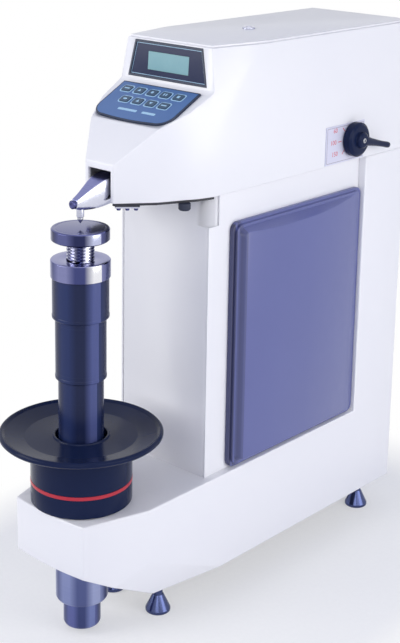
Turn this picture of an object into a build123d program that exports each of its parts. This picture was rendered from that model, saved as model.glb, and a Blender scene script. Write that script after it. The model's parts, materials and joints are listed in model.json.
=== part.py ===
"""Bench hardness tester with a dolphin-nose indenter arm.

Millimetres, +Z up.  The origin lies on the bench, under the axis of the elevating screw.
The front of the machine faces -Y, and +X is its right-hand side seen from the front.
"""
import math
import os

from build123d import *

os.makedirs("parts", exist_ok=True)

# ---------------------------------------------------------------- clearances
RUN = 0.05            # radial play of a shaft that turns or slides in its bore
FREE = 0.5            # air between pieces that move past each other
EDGE = 1.0            # broken edges of turned pieces
SEAT = 0.3            # air between a fitted cover and the piece that holds it

# ---------------------------------------------------------------- base and column
FOOT_GAP = 53.0       # height of the base's underside above the bench
BASE_DEEP = 140.0     # height of the base
NOSE_DEEP = 75.0      # height of the base's front shelf
FULL_HALF = 92.0      # half width of the base, the rear of the column and the head
NOSE_HALF = 64.0      # half width of the base at its front edge
NOSE_FRONT = 58.0     # front edge of the base, ahead of the screw
NOSE_BOW = 5.0        # how far the front edge bows outwards
FLARE_END = 34.0      # where the sides reach the full width, behind the screw
BACK = 590.0          # back face of the machine, behind the screw
BASE_WALL = 12.0
BASE_ROOF = 14.0
RAMP_END = 62.0       # where the shelf's sloped underside reaches the base's underside
CHEEK_FRONT = 34.0    # start of the sloped cheek on the base's side
CHEEK_END = 182.0     # end of the sloped cheek
CHEEK_CUT = 18.4      # how far the cheek cuts in under the base
COLUMN_FRONT = 155.0
COLUMN_HALF = 77.0
COLUMN_ROUND = 20.0   # radius of the column's front corners above the side covers
COLUMN_TALL = 400.0
COLUMN_WALL = 14.0
COLUMN_FLOOR = 12.0
REAR_START = 488.0    # where the column widens to the full width of the head
WINDOW_Y = (226.0, 452.0)
WINDOW_LOW = 60.0     # sill and head of the service windows, above the base
WINDOW_HIGH = 330.0
REAR_WINDOW_HALF = 52.0

# ---------------------------------------------------------------- side covers
PLATE_THICK = 3.0
PLATE_TOP = 355.0     # top edge of the side panels, above the base
NOTCH_LONG = 20.0     # step of the side plate behind the column's rounded corner
PANEL_FRONT = 196.0
PANEL_GAP = 2.0       # air between the panel's edges and its recess
PANEL_ROUND = 12.0
PANEL_LIP = 7.0       # thickness of the panel's flat flange
PANEL_LEDGE = 4.0     # height of the step round the raised face
PANEL_STEP = 4.0      # width of the flange, and of the step, round the raised face
PANEL_SLOPE = 26.0    # draft angle of the raised face's edges
PANEL_BOW = (18.0, 26.0, 6.5)    # height of the bowed face at its front, middle and rear edge
PANEL_WALL = 3.0

# ---------------------------------------------------------------- head
HEAD_TALL = 193.0     # height of the head's cover
HEAD_WALL = 5.0
TIP_HALF = 25.0       # half width of the head at its nose
TIP_FRONT = 33.0      # front face of the nose, behind the screw
TIP_TALL = 50.0       # height of the nose's upright front
JAW = (60.0, 77.0)    # corner of the nose's oblique side: half width, distance
CHEEK = (85.0, 128.0)
CHEEK_FADE = 25.0     # length over which the cheek meets the head's side
COWL_KNEE = (77.0, 94.0)     # front edge of the keypad slope: distance, height
COWL_TOP = (150.0, 131.0)    # rear edge of the keypad slope
DISPLAY_FOOT = (156.0, 135.0)
DISPLAY_HEAD = (160.0, 193.0)
BROW_HALF = 74.0      # half width of the head's top edge at its front
BROW_END = 250.0      # where the top edge reaches the full width
BROW_DROP = 61.0
LEDGE_THICK = 3.0     # inner flange that seats the head on the column
UNDER_THICK = 4.0
MOUTH_HALF = 20.0     # opening for the indenter arm
MOUTH_TALL = 41.0
LID_THICK = 3.0
LID_INSET = 2.0
PLUG_R = 9.0
PLUG_Y = 322.0

# ---------------------------------------------------------------- console
BEZEL_LOW_HALF = 70.0
BEZEL_TOP_HALF = 60.0
BEZEL_Z = (139.0, 188.0)     # over the head's underside
BEZEL_DEEP = 4.0
BEZEL_LIP = 1.5
WINDOW_INSET = 4.0
WINDOW_THICK = 1.5
LCD_HALF = 36.0
LCD_TALL = 24.0
LCD_RIM = 6.0         # width of the carrier round the screen
LCD_SINK = 1.2        # face of the screen below the bezel
WINDOW_SINK = 1.0
KEYPAD_HALF = 68.0
KEYPAD_LONG = 76.0
KEYPAD_THICK = 5.0
KEYPAD_PROUD = 3.0
KEYPAD_CORNER = 24.0
KEY_WIDE = 15.0
KEY_LONG = 11.0
KEY_PROUD = 1.2
KEY_THICK = 3.0
KEY_ROUND = 2.5
KEY_PITCH = 23.0
KEY_ROWS = ((5, -2.5, 15.8), (4, 1.0, 37.1))    # count, middle and distance down the slope
KEYPAD_BOW = 2.5      # bulge of the keypad's front edge
KEY_TRAVEL = 0.6

# ---------------------------------------------------------------- load selector
DIAL_Y = (386.0, 477.0)
DIAL_Z = (2.0, 57.0)
DIAL_THICK = 1.5
KNOB_Y = 449.0
KNOB_Z = 33.0
KNOB_R = 25.0
KNOB_THICK = 14.0
KNOB_HUB_R = 11.0
KNOB_HUB_LONG = 8.0
HANDLE_LONG = 74.0    # from the knob's axis to the tip of its handle
HANDLE_R = 4.5
HANDLE_ROOT_R = 7.0
HANDLE_DROOP = 14.0   # degrees below the horizontal at rest
SELECTOR_R = 6.0
SELECTOR_CAM_R = 16.0
SELECTOR_CAM_THICK = 10.0
SELECTOR_END = 22.0   # inner end of the selector shaft

# ---------------------------------------------------------------- indenter arm
ARM_TIP = -10.0
ARM_TIP_HALF = 7.0
ARM_ROOT_HALF = 16.0
ARM_BACK = 140.0
ARM_WEDGE = 42.0      # where the arm reaches its full width
ARM_DROP = 3.0        # underside of the arm below the head
ARM_RISE = 34.0       # top of the arm above the head's underside
ARM_BELLY = ((0.0, 5.0), (22.0, 4.0), (60.0, 0.0))          # distance, depth under the underside
ARM_BROW = ((35.0, 0.0), (14.0, 7.0), (-8.0, 22.0), (-10.0, 26.0))    # distance, drop from the top
SPINDLE_Y = 122.0
SPINDLE_R = 9.0
SPINDLE_NOSE_R = 3.0
SPINDLE_NOSE = 3.0
BUSH_R = 12.5
BUSH_LONG = 16.0
BUSH_FLANGE_R = 15.5
BUSH_FLANGE = 4.0
INDENTER_R = 4.0
INDENTER_TIP_GAP = 5.0     # indenter point over the anvil at rest
INDENTER_LONG = 21.0
INDENTER_CONE = 4.5
CLAMP_R = 6.0
CLAMP_LONG = 5.0
CLAMP_RISE = 3.0

# ---------------------------------------------------------------- load train in the head
BEAM_THICK = 12.0
BEAM_HALF = 70.0
BEAM_FRONT = 150.0
SHELF_FRONT = 90.0    # front of the raised shelf that carries the spindle's bush
SHELF_Z = 39.0
SHELF_THICK = 10.0
SHELF_HALF = 30.0
FULCRUM_Y = 100.0
FULCRUM_Z = 78.0
FULCRUM_R = 5.0
EAR_THICK = 8.0
EAR_HALF = 6.5        # half length of the fulcrum's ears
EAR_RIM = 4.0         # metal over the fulcrum pin
SELECTOR_EAR = 12.0   # half length of the selector's ear, and its height over the shaft
CAM_AIR = 2.0         # air between the selector's cam and its ear
LEVER_HALF = 7.0
LEVER_DEEP = 16.0
LEVER_TAPER = (40.0, 3.0)    # length and fall of the taper over the fulcrum
LEVER_NOSE = 9.0      # stretch of the lever ahead of its fulcrum
LEVER_TAIL = 18.0     # stretch of the lever behind the hanger
HANGER_Y = 500.0
HANGER_R = 5.0
HANGER_DROP = 290.0   # length of the hanger's rod
STIRRUP_WALL = 5.0
STIRRUP_LONG = 14.0
STIRRUP_BAR_R = 4.0
STIRRUP_AIR = 12.0    # air under the lever inside the stirrup
HANGER_HOLE_R = 12.0
TRAY_R = 40.0
TRAY_THICK = 8.0
WEIGHT_R = 50.0
WEIGHT_THICK = 35.0
WEIGHT_COUNT = 3
MOTOR_R = 24.0
MOTOR_LONG = 56.0
MOTOR_Y = 300.0
MOTOR_FOOT = (20.0, 12.0, 6.0)    # half length, height, and distance in from its ends
MOTOR_AIR = 6.0       # air between the motor and the main lever
CAM_SHAFT_IN = 9.0    # how far the cam's shaft reaches into the motor
CAM_R = 20.0
CAM_THROW = 3.0
CAM_THICK = 10.0
CAM_SHAFT_R = 4.0
SENSOR_SIZE = (16.0, 20.0, 30.0)
SENSOR_X = 26.0
BOARD_SIZE = (110.0, 1.6, 44.0)
BOARD_GAP = 9.0
TRANSFORMER_SIZE = (64.0, 56.0, 52.0)
TRANSFORMER_Y = 250.0
WINDING_INSET = (12.0, 10.0, 8.0)    # core beyond the winding: across, along, up

# ---------------------------------------------------------------- elevating screw
SCREW_R = 18.0
ANVIL_R = 37.5
ANVIL_THICK = 16.0
ANVIL_DROP = 28.5     # working face of the anvil, below the head
ANVIL_SHANK_R = 8.0
ANVIL_SHANK_LONG = 22.0
COLLAR_R = 38.5
COLLAR_TALL = 23.2
STUB_TALL = 25.1      # bare thread between the collar and the anvil
SLEEVE_WALL = 3.0
SLEEVE_TOP_R = 37.0
SLEEVE_TALL = (54.5, 91.5)    # upper and middle
SLEEVE_FOOT = 62.2    # lower edge of the lowest sleeve above the floor of its well
SLEEVE_LAP = 9.5      # overlap of two neighbouring sleeves at rest
SLEEVE_BEVEL = 2.5
NUT_R = 25.0
NUT_LONG = 73.0      # journal below the flange
NUT_FLANGE_R = 44.0
NUT_FLANGE = 10.0
BEARING_R = (27.0, 40.0)
BEARING_TALL = 16.0
BEARING_WASHER = 4.0
BALL_COUNT = 12
BALL_R = 3.9
BOSS_R = 54.0
BOSS_TALL = 81.0
GUARD_R = 35.0
GUARD_BORE_R = 26.0
GUARD_LONG = 63.0
GUARD_ROUND = 4.0
CAP_R = 25.0
CAP_LONG = 65.0
CAP_ROUND = 5.0
CAP_FLOOR = 12.0
CAP_LOW = 10.0        # lowest point of the cap above the bench

# ---------------------------------------------------------------- handwheel
WHEEL_R = 108.0
WHEEL_TOP = 98.0      # rim above the base
RIM_THICK = 8.0
DISH_DEEP = 8.0
RIM_WIDE = 34.0       # width of the sloped rim round the dish
DISH_WALL = 6.0
DRUM_R = 67.0
DRUM_WALL = 6.0
DRUM_GAP = 1.2        # air between the drum and the base
WELL_WALL = 4.5
HUB_LIP_R = 37.0
HUB_LIP = 2.0
WEB_THICK = 10.0
STRIPE_Z = 27.5
STRIPE_TALL = 5.0
STRIPE_DEEP = 1.5

# ---------------------------------------------------------------- feet
FOOT_FRONT = (48.0, 103.0)    # distance in from the base's side, and distance behind the screw
FOOT_REAR = (36.0, 556.0)
FOOT_STUD_R = 6.5
FOOT_STUD_LONG = 64.0
FOOT_PAD_R = 17.5
FOOT_PAD_EDGE = 5.0
FOOT_CONE_TALL = 21.0
FOOT_BOSS_R = 15.0

# ---------------------------------------------------------------- back
REAR_COVER_THICK = 2.0
REAR_COVER_HALF = 62.0
REAR_COVER_LAP = 10.0
INLET_SIZE = (28.0, 20.0)
INLET_DEEP = 18.0
INLET_Z = 60.0
INLET_X = 30.0
SWITCH_SIZE = (14.0, 20.0)
SWITCH_DEEP = 12.0
SWITCH_X = -30.0
SWITCH_AIR = 0.8      # air over and under the rocker
SWITCH_AXLE_R = 1.2
SWITCH_AXLE_DEEP = 0.5    # depth of the axle under the rear cover's face
SWITCH_AXLE_END = 0.7  # how far the rocker's axle reaches into each side of the frame

# ---------------------------------------------------------------- heights that follow
BASE_TOP = FOOT_GAP + BASE_DEEP
HEAD_LOW = BASE_TOP + COLUMN_TALL
HEAD_TOP = HEAD_LOW + HEAD_TALL
ANVIL_Z = HEAD_LOW - ANVIL_DROP
SCREW_TOP = ANVIL_Z - ANVIL_THICK
COLLAR_TOP = SCREW_TOP - STUB_TALL
COLLAR_LOW = COLLAR_TOP - COLLAR_TALL
INDENTER_Z = ANVIL_Z + INDENTER_TIP_GAP
SHELF_TOP = HEAD_LOW + SHELF_Z + SHELF_THICK
LEVER_Z = HEAD_LOW + FULCRUM_Z
BEAM_TOP = HEAD_LOW + BEAM_THICK
SLEEVE_R = [SLEEVE_TOP_R - i * (SLEEVE_WALL + FREE) for i in range(3)]
WELL_R = SLEEVE_R[1] + FREE
WELL_FLOOR = BASE_TOP + NUT_FLANGE + WEB_THICK
SLEEVE_HIGH = [COLLAR_LOW, COLLAR_LOW - SLEEVE_TALL[0] + SLEEVE_LAP,
               COLLAR_LOW - sum(SLEEVE_TALL) + 2 * SLEEVE_LAP]
SLEEVE_LOW = [SLEEVE_HIGH[0] - SLEEVE_TALL[0], SLEEVE_HIGH[1] - SLEEVE_TALL[1], WELL_FLOOR + SLEEVE_FOOT]
ARM_LOW = HEAD_LOW - ARM_DROP
ARM_TOP = HEAD_LOW + ARM_RISE
CLAMP_Z = HEAD_LOW + CLAMP_RISE


# ---------------------------------------------------------------- form helpers
def outline(half_points):
    """Closed plan outline from the points of its right half, front to back."""
    mirrored = [(-x, y) for x, y in reversed(half_points)]
    return list(half_points) + mirrored


def prism(points, low, high):
    """Upright prism over a plan outline."""
    face = make_face(Polyline(*points, close=True))
    return Pos(0, 0, low) * extrude(face, amount=high - low)


def side_prism(points, left, right):
    """Solid of a (distance, height) profile that runs across the machine."""
    face = Plane.YZ * make_face(Polyline(*points, close=True))
    return Pos(left, 0, 0) * extrude(face, amount=right - left)


def turned(points, x=0.0, y=0.0):
    """Solid of revolution of a (radius, height) profile on an upright axis."""
    face = Plane.XZ * make_face(Polyline(*points, close=True))
    return Pos(x, y, 0) * revolve(face, Axis.Z)


def rod(radius, low, high, x=0.0, y=0.0):
    """Upright cylinder."""
    return Pos(x, y, low) * Cylinder(radius, high - low, align=(Align.CENTER, Align.CENTER, Align.MIN))


def tube(outer, inner, low, high, x=0.0, y=0.0):
    """Upright pipe."""
    return rod(outer, low, high, x, y) - rod(inner, low - 1, high + 1, x, y)


def cross_rod(radius, left, right, y, z):
    """Cylinder that runs across the machine."""
    bar = Rot(0, 90, 0) * Cylinder(radius, right - left, align=(Align.CENTER, Align.CENTER, Align.MIN))
    return Pos(left, y, z) * bar


def block(x, y, z):
    """Box between two x, two y and two z values."""
    size = (x[1] - x[0], y[1] - y[0], z[1] - z[0])
    return Pos(x[0], y[0], z[0]) * Box(*size, align=(Align.MIN, Align.MIN, Align.MIN))


def both_sides(solid):
    """A solid and its mirror image across the machine's middle plane."""
    return [solid, mirror(solid, about=Plane.YZ)]


def upright_edges(solid, x, y, tolerance=1.0):
    """Vertical edges of a solid at one place in plan, and at its mirror image."""
    found = []
    for edge in solid.edges().filter_by(Axis.Z):
        middle = edge.center()
        if abs(abs(middle.X) - x) < tolerance and abs(middle.Y - y) < tolerance:
            found.append(edge)
    return found


# ---------------------------------------------------------------- machine frame
def base_outline(inset=0.0):
    """Plan of the base: a bowed nose whose sides flare to the full width."""
    slope = math.atan2(FULL_HALF - NOSE_HALF, FLARE_END + NOSE_FRONT)
    slant = inset / math.cos(slope)
    nose = NOSE_HALF - slant + inset * math.tan(slope)
    flare = FLARE_END + inset * math.tan(slope / 2)
    right = [(nose, inset - NOSE_FRONT), (FULL_HALF - inset, flare), (FULL_HALF - inset, BACK - inset)]
    left = [(-x, y) for x, y in reversed(right)]
    bow = ThreePointArc(left[-1], (0, inset - NOSE_FRONT - NOSE_BOW), right[0])
    return make_face(bow + Polyline(*right, *left))


def base_body(inset, low, high):
    """Base block with the sloped underside of its nose and its two sloped cheeks."""
    body = Pos(0, 0, low) * extrude(base_outline(inset), amount=high - low)
    nose_low = BASE_TOP - NOSE_DEEP + inset
    ramp = [(-2 * NOSE_FRONT, low - 1), (-2 * NOSE_FRONT, nose_low), (-NOSE_FRONT + inset, nose_low),
            (RAMP_END + inset, FOOT_GAP + inset), (RAMP_END + inset, low - 1)]
    body -= side_prism(ramp, -2 * FULL_HALF, 2 * FULL_HALF)
    for side in (1, -1):
        corner = Vector(side * (FULL_HALF - inset), CHEEK_FRONT, nose_low)
        back = Vector(side * (FULL_HALF - inset), CHEEK_END, FOOT_GAP + inset)
        under = Vector(side * (FULL_HALF - inset - CHEEK_CUT), RAMP_END + inset * 2, FOOT_GAP + inset)
        normal = (back - corner).cross(under - corner) * side
        cut = Plane(origin=corner, z_dir=normal if normal.Z < 0 else normal * -1)
        body = body.split(cut, keep=Keep.BOTTOM)
    return body


def make_machine_frame():
    """One iron casting: hollow base, screw boss, foot bosses and hollow column."""
    frame = base_body(0.0, FOOT_GAP, BASE_TOP)
    frame -= base_body(BASE_WALL, FOOT_GAP - BASE_WALL - 1, BASE_TOP - BASE_ROOF)
    frame += rod(BOSS_R, BASE_TOP - BOSS_TALL, BASE_TOP - 1)
    frame -= rod(GUARD_R + SEAT, FOOT_GAP - 1, BASE_TOP - BOSS_TALL)
    for x, y in foot_places():
        frame += rod(FOOT_BOSS_R, FOOT_GAP, BASE_TOP - BASE_ROOF + 1, x, y)
        frame -= rod(FOOT_STUD_R + RUN, FOOT_GAP - 1, FOOT_GAP + FOOT_STUD_LONG, x, y)
    plan = outline([(COLUMN_HALF, COLUMN_FRONT), (COLUMN_HALF, BACK)])
    column = prism(plan, BASE_TOP + PLATE_TOP, HEAD_LOW)
    column = fillet(upright_edges(column, COLUMN_HALF, COLUMN_FRONT), COLUMN_ROUND)
    column += prism(plan, BASE_TOP - 1, BASE_TOP + PLATE_TOP)
    rear = prism(outline([(FULL_HALF, REAR_START), (FULL_HALF, BACK)]), BASE_TOP - 1, HEAD_LOW)
    frame += column + rear
    hollow_half = COLUMN_HALF - COLUMN_WALL
    frame -= block((-hollow_half, hollow_half), (COLUMN_FRONT + COLUMN_WALL, BACK - COLUMN_WALL),
                   (BASE_TOP + COLUMN_FLOOR, HEAD_LOW + 1))
    sill = (BASE_TOP + WINDOW_LOW, BASE_TOP + WINDOW_HIGH)
    frame -= block((-2 * COLUMN_HALF, 2 * COLUMN_HALF), WINDOW_Y, sill)
    frame -= block((-REAR_WINDOW_HALF, REAR_WINDOW_HALF), (BACK - 2 * COLUMN_WALL, BACK + 1), sill)
    frame -= rod(NUT_R + RUN, FOOT_GAP, BASE_TOP + 1)
    frame -= rod(BEARING_R[1] + SEAT, BASE_TOP - BEARING_TALL, BASE_TOP + 1)
    return frame


def foot_places():
    """Plan places of the four levelling feet."""
    fx, rx = FULL_HALF - FOOT_FRONT[0], FULL_HALF - FOOT_REAR[0]
    return [(-fx, FOOT_FRONT[1]), (fx, FOOT_FRONT[1]), (-rx, FOOT_REAR[1]), (rx, FOOT_REAR[1])]


def make_foot(x, y):
    """Levelling foot: a turned pad with a cone that runs up to its stud."""
    cone_top = FOOT_PAD_EDGE + FOOT_CONE_TALL
    return turned([(0, 0), (FOOT_PAD_R - 1.5, 0), (FOOT_PAD_R, 1.5), (FOOT_PAD_R, FOOT_PAD_EDGE),
                   (FOOT_STUD_R + 1, cone_top), (FOOT_STUD_R, cone_top),
                   (FOOT_STUD_R, cone_top + FOOT_STUD_LONG), (0, cone_top + FOOT_STUD_LONG)], x, y)


# ---------------------------------------------------------------- side covers
def make_side_plate():
    """Flat cover on the column's right side, stepped back above to bare the rounded corner."""
    step, rear = BASE_TOP + PLATE_TOP, REAR_START - SEAT
    notch = COLUMN_FRONT + NOTCH_LONG
    profile = [(COLUMN_FRONT, BASE_TOP), (rear, BASE_TOP), (rear, HEAD_LOW), (notch, HEAD_LOW), (notch, step),
               (COLUMN_FRONT, step)]
    return side_prism(profile, COLUMN_HALF, COLUMN_HALF + PLATE_THICK)


def make_side_panel():
    """Right-hand moulded panel: a flat flange, a step, drafted edges and a bowed face."""
    y0, y1 = PANEL_FRONT, REAR_START - PANEL_GAP
    z0, z1 = BASE_TOP + PANEL_GAP, BASE_TOP + PLATE_TOP
    seat = COLUMN_HALF + PLATE_THICK
    middle = Plane(origin=(seat, (y0 + y1) / 2, (z0 + z1) / 2), x_dir=(0, 1, 0), z_dir=(1, 0, 0))
    panel = extrude(panel_plan(middle, 0), amount=PANEL_LIP)
    panel += extrude(panel_plan(middle.offset(PANEL_LIP), PANEL_STEP), amount=PANEL_LEDGE)
    low = PANEL_LIP + PANEL_LEDGE
    face = panel_plan(middle.offset(low), 2 * PANEL_STEP)
    panel += extrude(face, amount=PANEL_BOW[1] - low, taper=PANEL_SLOPE)
    panel &= panel_bow(seat, y0, y1, z0, z1)
    inside = panel_plan(middle, 4 * PANEL_STEP)
    hollow = extrude(inside, amount=PANEL_BOW[1] - PANEL_WALL, taper=PANEL_SLOPE)
    return panel - (hollow & panel_bow(seat - PANEL_WALL, y0, y1, z0, z1))


def panel_plan(plane, inset):
    """Rounded outline of the side panel on a plane, drawn in by a distance."""
    wide = REAR_START - PANEL_GAP - PANEL_FRONT - 2 * inset
    tall = PLATE_TOP - PANEL_GAP - 2 * inset
    return plane * RectangleRounded(wide, tall, PANEL_ROUND)


def panel_bow(seat, y0, y1, z0, z1):
    """Upright block whose outer face bows out from the front edge to the rear edge."""
    front, crest, rear = PANEL_BOW
    bow = ThreePointArc((seat + front, y0), (seat + crest, (y0 + y1) / 2), (seat + rear, y1))
    sides = Polyline((seat + rear, y1), (seat, y1), (seat, y0), (seat + front, y0))
    return Pos(0, 0, z0) * extrude(make_face(bow + sides), amount=z1 - z0)


def make_rear_cover():
    """Sheet cover over the column's rear window, with cut-outs for the power fittings."""
    low = BASE_TOP + WINDOW_LOW - REAR_COVER_LAP
    high = BASE_TOP + WINDOW_HIGH + REAR_COVER_LAP
    sheet = block((-REAR_COVER_HALF, REAR_COVER_HALF), (BACK, BACK + REAR_COVER_THICK), (low, high))
    sheet -= socket_hole(INLET_X, INLET_SIZE)
    return sheet - socket_hole(SWITCH_X, SWITCH_SIZE)


def socket_hole(x, size, grow=SEAT, front=BACK - 1, back=BACK + REAR_COVER_THICK + 1):
    """Rectangular block through the rear cover, centred on a power fitting."""
    z = BASE_TOP + WINDOW_LOW + INLET_Z
    return block((x - size[0] / 2 - grow, x + size[0] / 2 + grow), (front, back),
                 (z - size[1] / 2 - grow, z + size[1] / 2 + grow))


def make_power_inlet():
    """Three-pole power inlet with its flange outside the cover and its socket recess."""
    outside = BACK + REAR_COVER_THICK
    body = socket_hole(INLET_X, INLET_SIZE, 0, outside - INLET_DEEP, outside)
    body += socket_hole(INLET_X, INLET_SIZE, 3, outside, outside + 2)
    recess = socket_hole(INLET_X, INLET_SIZE, -2.5, outside - INLET_DEEP + 4, outside + 3)
    z = BASE_TOP + WINDOW_LOW + INLET_Z
    for dx, dz in ((0, 3), (-7, -2), (7, -2)):
        blade = block((INLET_X + dx - 1, INLET_X + dx + 1), (outside - INLET_DEEP + 3, outside - 4),
                      (z + dz - 2, z + dz + 2))
        recess -= blade
    return body - recess


def make_switch_frame():
    """Frame of the power switch, snapped into the rear cover."""
    outside = BACK + REAR_COVER_THICK
    frame = socket_hole(SWITCH_X, SWITCH_SIZE, 0, outside - SWITCH_DEEP, outside)
    frame += socket_hole(SWITCH_X, SWITCH_SIZE, 2, outside, outside + 1.5)
    frame -= socket_hole(SWITCH_X, SWITCH_SIZE, -1.5, outside - SWITCH_DEEP + 2, outside + 2)
    return frame - switch_axle(SWITCH_AXLE_R + RUN, RUN)


def switch_axle(radius, play=0.0):
    """Axle of the rocker across the switch's frame."""
    half = SWITCH_SIZE[0] / 2 - 1.5 + SWITCH_AXLE_END + play
    y = BACK + REAR_COVER_THICK - SWITCH_AXLE_DEEP
    return cross_rod(radius, SWITCH_X - half, SWITCH_X + half, y, BASE_TOP + WINDOW_LOW + INLET_Z)


def make_switch_rocker():
    """Rocker of the power switch: two sloped halves on a cross axle."""
    outside = BACK + REAR_COVER_THICK
    z = BASE_TOP + WINDOW_LOW + INLET_Z
    half = SWITCH_SIZE[1] / 2 - 1.5 - SWITCH_AIR
    points = [(outside - 5, z - 4), (outside + 0.5, z - half), (outside + 3.0, z - half),
              (outside + 1.6, z), (outside + 3.0, z + half), (outside + 0.5, z + half), (outside - 5, z + 4)]
    wide = SWITCH_SIZE[0] / 2 - 1.5 - FREE / 2
    return Pos(SWITCH_X, 0, 0) * side_prism(points, -wide, wide) + switch_axle(SWITCH_AXLE_R)


# ---------------------------------------------------------------- head
def head_outline(inset=0.0):
    """Plan of the head: a blunt nose, two oblique cheeks and parallel sides."""
    corners = [(TIP_HALF, TIP_FRONT), JAW, CHEEK, (FULL_HALF, CHEEK[1] + CHEEK_FADE), (FULL_HALF, BACK - 2)]
    face = make_face(Polyline(*outline(corners), close=True))
    if inset:
        face = offset(face, amount=-inset, kind=Kind.INTERSECTION)
    return face


def cowl_profile(inset=0.0):
    """Side profile of the head: nose, console slopes and display face."""
    points = [(TIP_FRONT, TIP_TALL), COWL_KNEE, COWL_TOP, DISPLAY_FOOT, DISPLAY_HEAD]
    lifted = [(y, HEAD_LOW + z) for y, z in points]
    rear = [(BACK + 5, HEAD_TOP), (BACK + 5, HEAD_LOW - 5), (TIP_FRONT, HEAD_LOW - 5)]
    face = make_face(Polyline(*(lifted + rear), close=True))
    if inset:
        face = offset(face, amount=-inset, kind=Kind.INTERSECTION)
    return face


def head_body(inset=0.0):
    """Block of the head: its plan cut by its side profile and by the two brow facets."""
    plan = Pos(0, 0, HEAD_LOW - 1 if inset else HEAD_LOW) * extrude(head_outline(inset),
                                                                    amount=HEAD_TALL - inset - LID_THICK)
    side = Pos(-2 * FULL_HALF, 0, 0) * extrude(Plane.YZ * cowl_profile(inset), amount=4 * FULL_HALF)
    body = plan & side
    for hand in (1, -1):
        front = Vector(hand * (BROW_HALF - inset), DISPLAY_HEAD[0], HEAD_TOP)
        down = Vector(hand * (BROW_HALF + 10 - inset), DISPLAY_HEAD[0] - 3, HEAD_TOP - BROW_DROP)
        rear = Vector(hand * (FULL_HALF - inset), BROW_END, HEAD_TOP)
        normal = (down - front).cross(rear - front)
        if normal.X * hand < 0:
            normal = normal * -1
        body = body.split(Plane(origin=front, z_dir=normal), keep=Keep.BOTTOM)
    return body


def make_head_cover():
    """Moulded cover of the head with the mouth for the indenter arm and the knob's hole."""
    shell = head_body() - head_body(HEAD_WALL)
    ledge = block((BEAM_HALF + SEAT, FULL_HALF - 1), (COLUMN_FRONT, REAR_START),
                  (HEAD_LOW, HEAD_LOW + LEDGE_THICK))
    for flange in both_sides(ledge):
        shell += flange
    shell -= block((-MOUTH_HALF, MOUTH_HALF), (TIP_FRONT - 10, TIP_FRONT + HEAD_WALL + 4),
                   (HEAD_LOW - 1, HEAD_LOW + MOUTH_TALL))
    shell -= cross_rod(SELECTOR_R + FREE, FULL_HALF - 2 * HEAD_WALL, FULL_HALF + 1, KNOB_Y, HEAD_LOW + KNOB_Z)
    return shell - console_pocket()


def make_top_lid():
    """Flat lid on the head, drawn in a little from the cover's edges."""
    lid = Pos(0, 0, HEAD_TOP - LID_THICK) * extrude(
        make_face(Polyline(*outline([(BROW_HALF - LID_INSET, DISPLAY_HEAD[0] + LID_INSET),
                                     (FULL_HALF - LID_INSET, BROW_END),
                                     (FULL_HALF - LID_INSET, BACK - 2 - LID_INSET)]), close=True)),
        amount=LID_THICK)
    return lid


def make_top_plug():
    """Low domed plug in the lid, over the lifting eye's hole."""
    return turned([(0, HEAD_TOP), (PLUG_R, HEAD_TOP), (PLUG_R, HEAD_TOP + 1.5),
                   (PLUG_R - 2, HEAD_TOP + 3), (0, HEAD_TOP + 3)], 0, PLUG_Y)


# ---------------------------------------------------------------- console
def slope_plane(low, high, along=0.0):
    """Plane on the cowl between two profile points, local Y up the slope, Z outwards."""
    rise = Vector(0, high[0] - low[0], high[1] - low[1]).normalized()
    foot = Vector(0, low[0], HEAD_LOW + low[1]) + rise * along
    return Plane(origin=foot, x_dir=(1, 0, 0), z_dir=Vector(1, 0, 0).cross(rise))


def trapezoid(inset=0.0):
    """Outline of the display bezel, wider at its foot."""
    low, high = BEZEL_Z[0] - DISPLAY_FOOT[1] + inset, BEZEL_Z[1] - DISPLAY_FOOT[1] - inset
    return make_face(Polyline((BEZEL_LOW_HALF - inset, low), (BEZEL_TOP_HALF - inset, high),
                              (inset - BEZEL_TOP_HALF, high), (inset - BEZEL_LOW_HALF, low), close=True))


DISPLAY = slope_plane(DISPLAY_FOOT, DISPLAY_HEAD)
KEYPAD = slope_plane(COWL_KNEE, COWL_TOP, math.dist(COWL_KNEE, COWL_TOP) - 2.0)
LCD_Y = (BEZEL_Z[0] + BEZEL_Z[1]) / 2 - DISPLAY_FOOT[1] - 1.0


def slab(plane, face, top, bottom):
    """Plate over a face, from one height over a plane to a lower one."""
    return extrude(plane.offset(bottom) * face, amount=top - bottom)


def keypad_face(inset=0.0):
    """Outline of the keypad: square at its top edge, widely rounded and bowed at its foot."""
    half, long = KEYPAD_HALF - inset, KEYPAD_LONG - inset
    corner = KEYPAD_CORNER - inset
    right = Line((half, -inset), (half, corner - long))
    left = Line((-half, corner - long), (-half, -inset))
    turn_r = ThreePointArc(right @ 1, (half - corner * 0.2929, KEYPAD_BOW - long + corner * 0.2929),
                           (half - corner, KEYPAD_BOW - long))
    front = ThreePointArc(turn_r @ 1, (0, -long), (corner - half, KEYPAD_BOW - long))
    turn_l = ThreePointArc(front @ 1, (corner * 0.2929 - half, KEYPAD_BOW - long + corner * 0.2929), left @ 0)
    return make_face(right + turn_r + front + turn_l + left + Line(left @ 1, right @ 0))


def key_places():
    """Centres of the nine keys on the keypad: five above, four below."""
    places = []
    for count, middle, down in KEY_ROWS:
        first = middle - (count - 1) * KEY_PITCH / 2
        places += [(first + i * KEY_PITCH, -down) for i in range(count)]
    return places


def console_pocket():
    """Openings in the cowl for the display bezel and the keypad."""
    display = slab(DISPLAY, offset(trapezoid(), amount=SEAT, kind=Kind.INTERSECTION), 5, -2 * HEAD_WALL)
    keypad = slab(KEYPAD, offset(keypad_face(), amount=SEAT), 5, KEYPAD_PROUD - KEYPAD_THICK)
    return display + keypad


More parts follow.
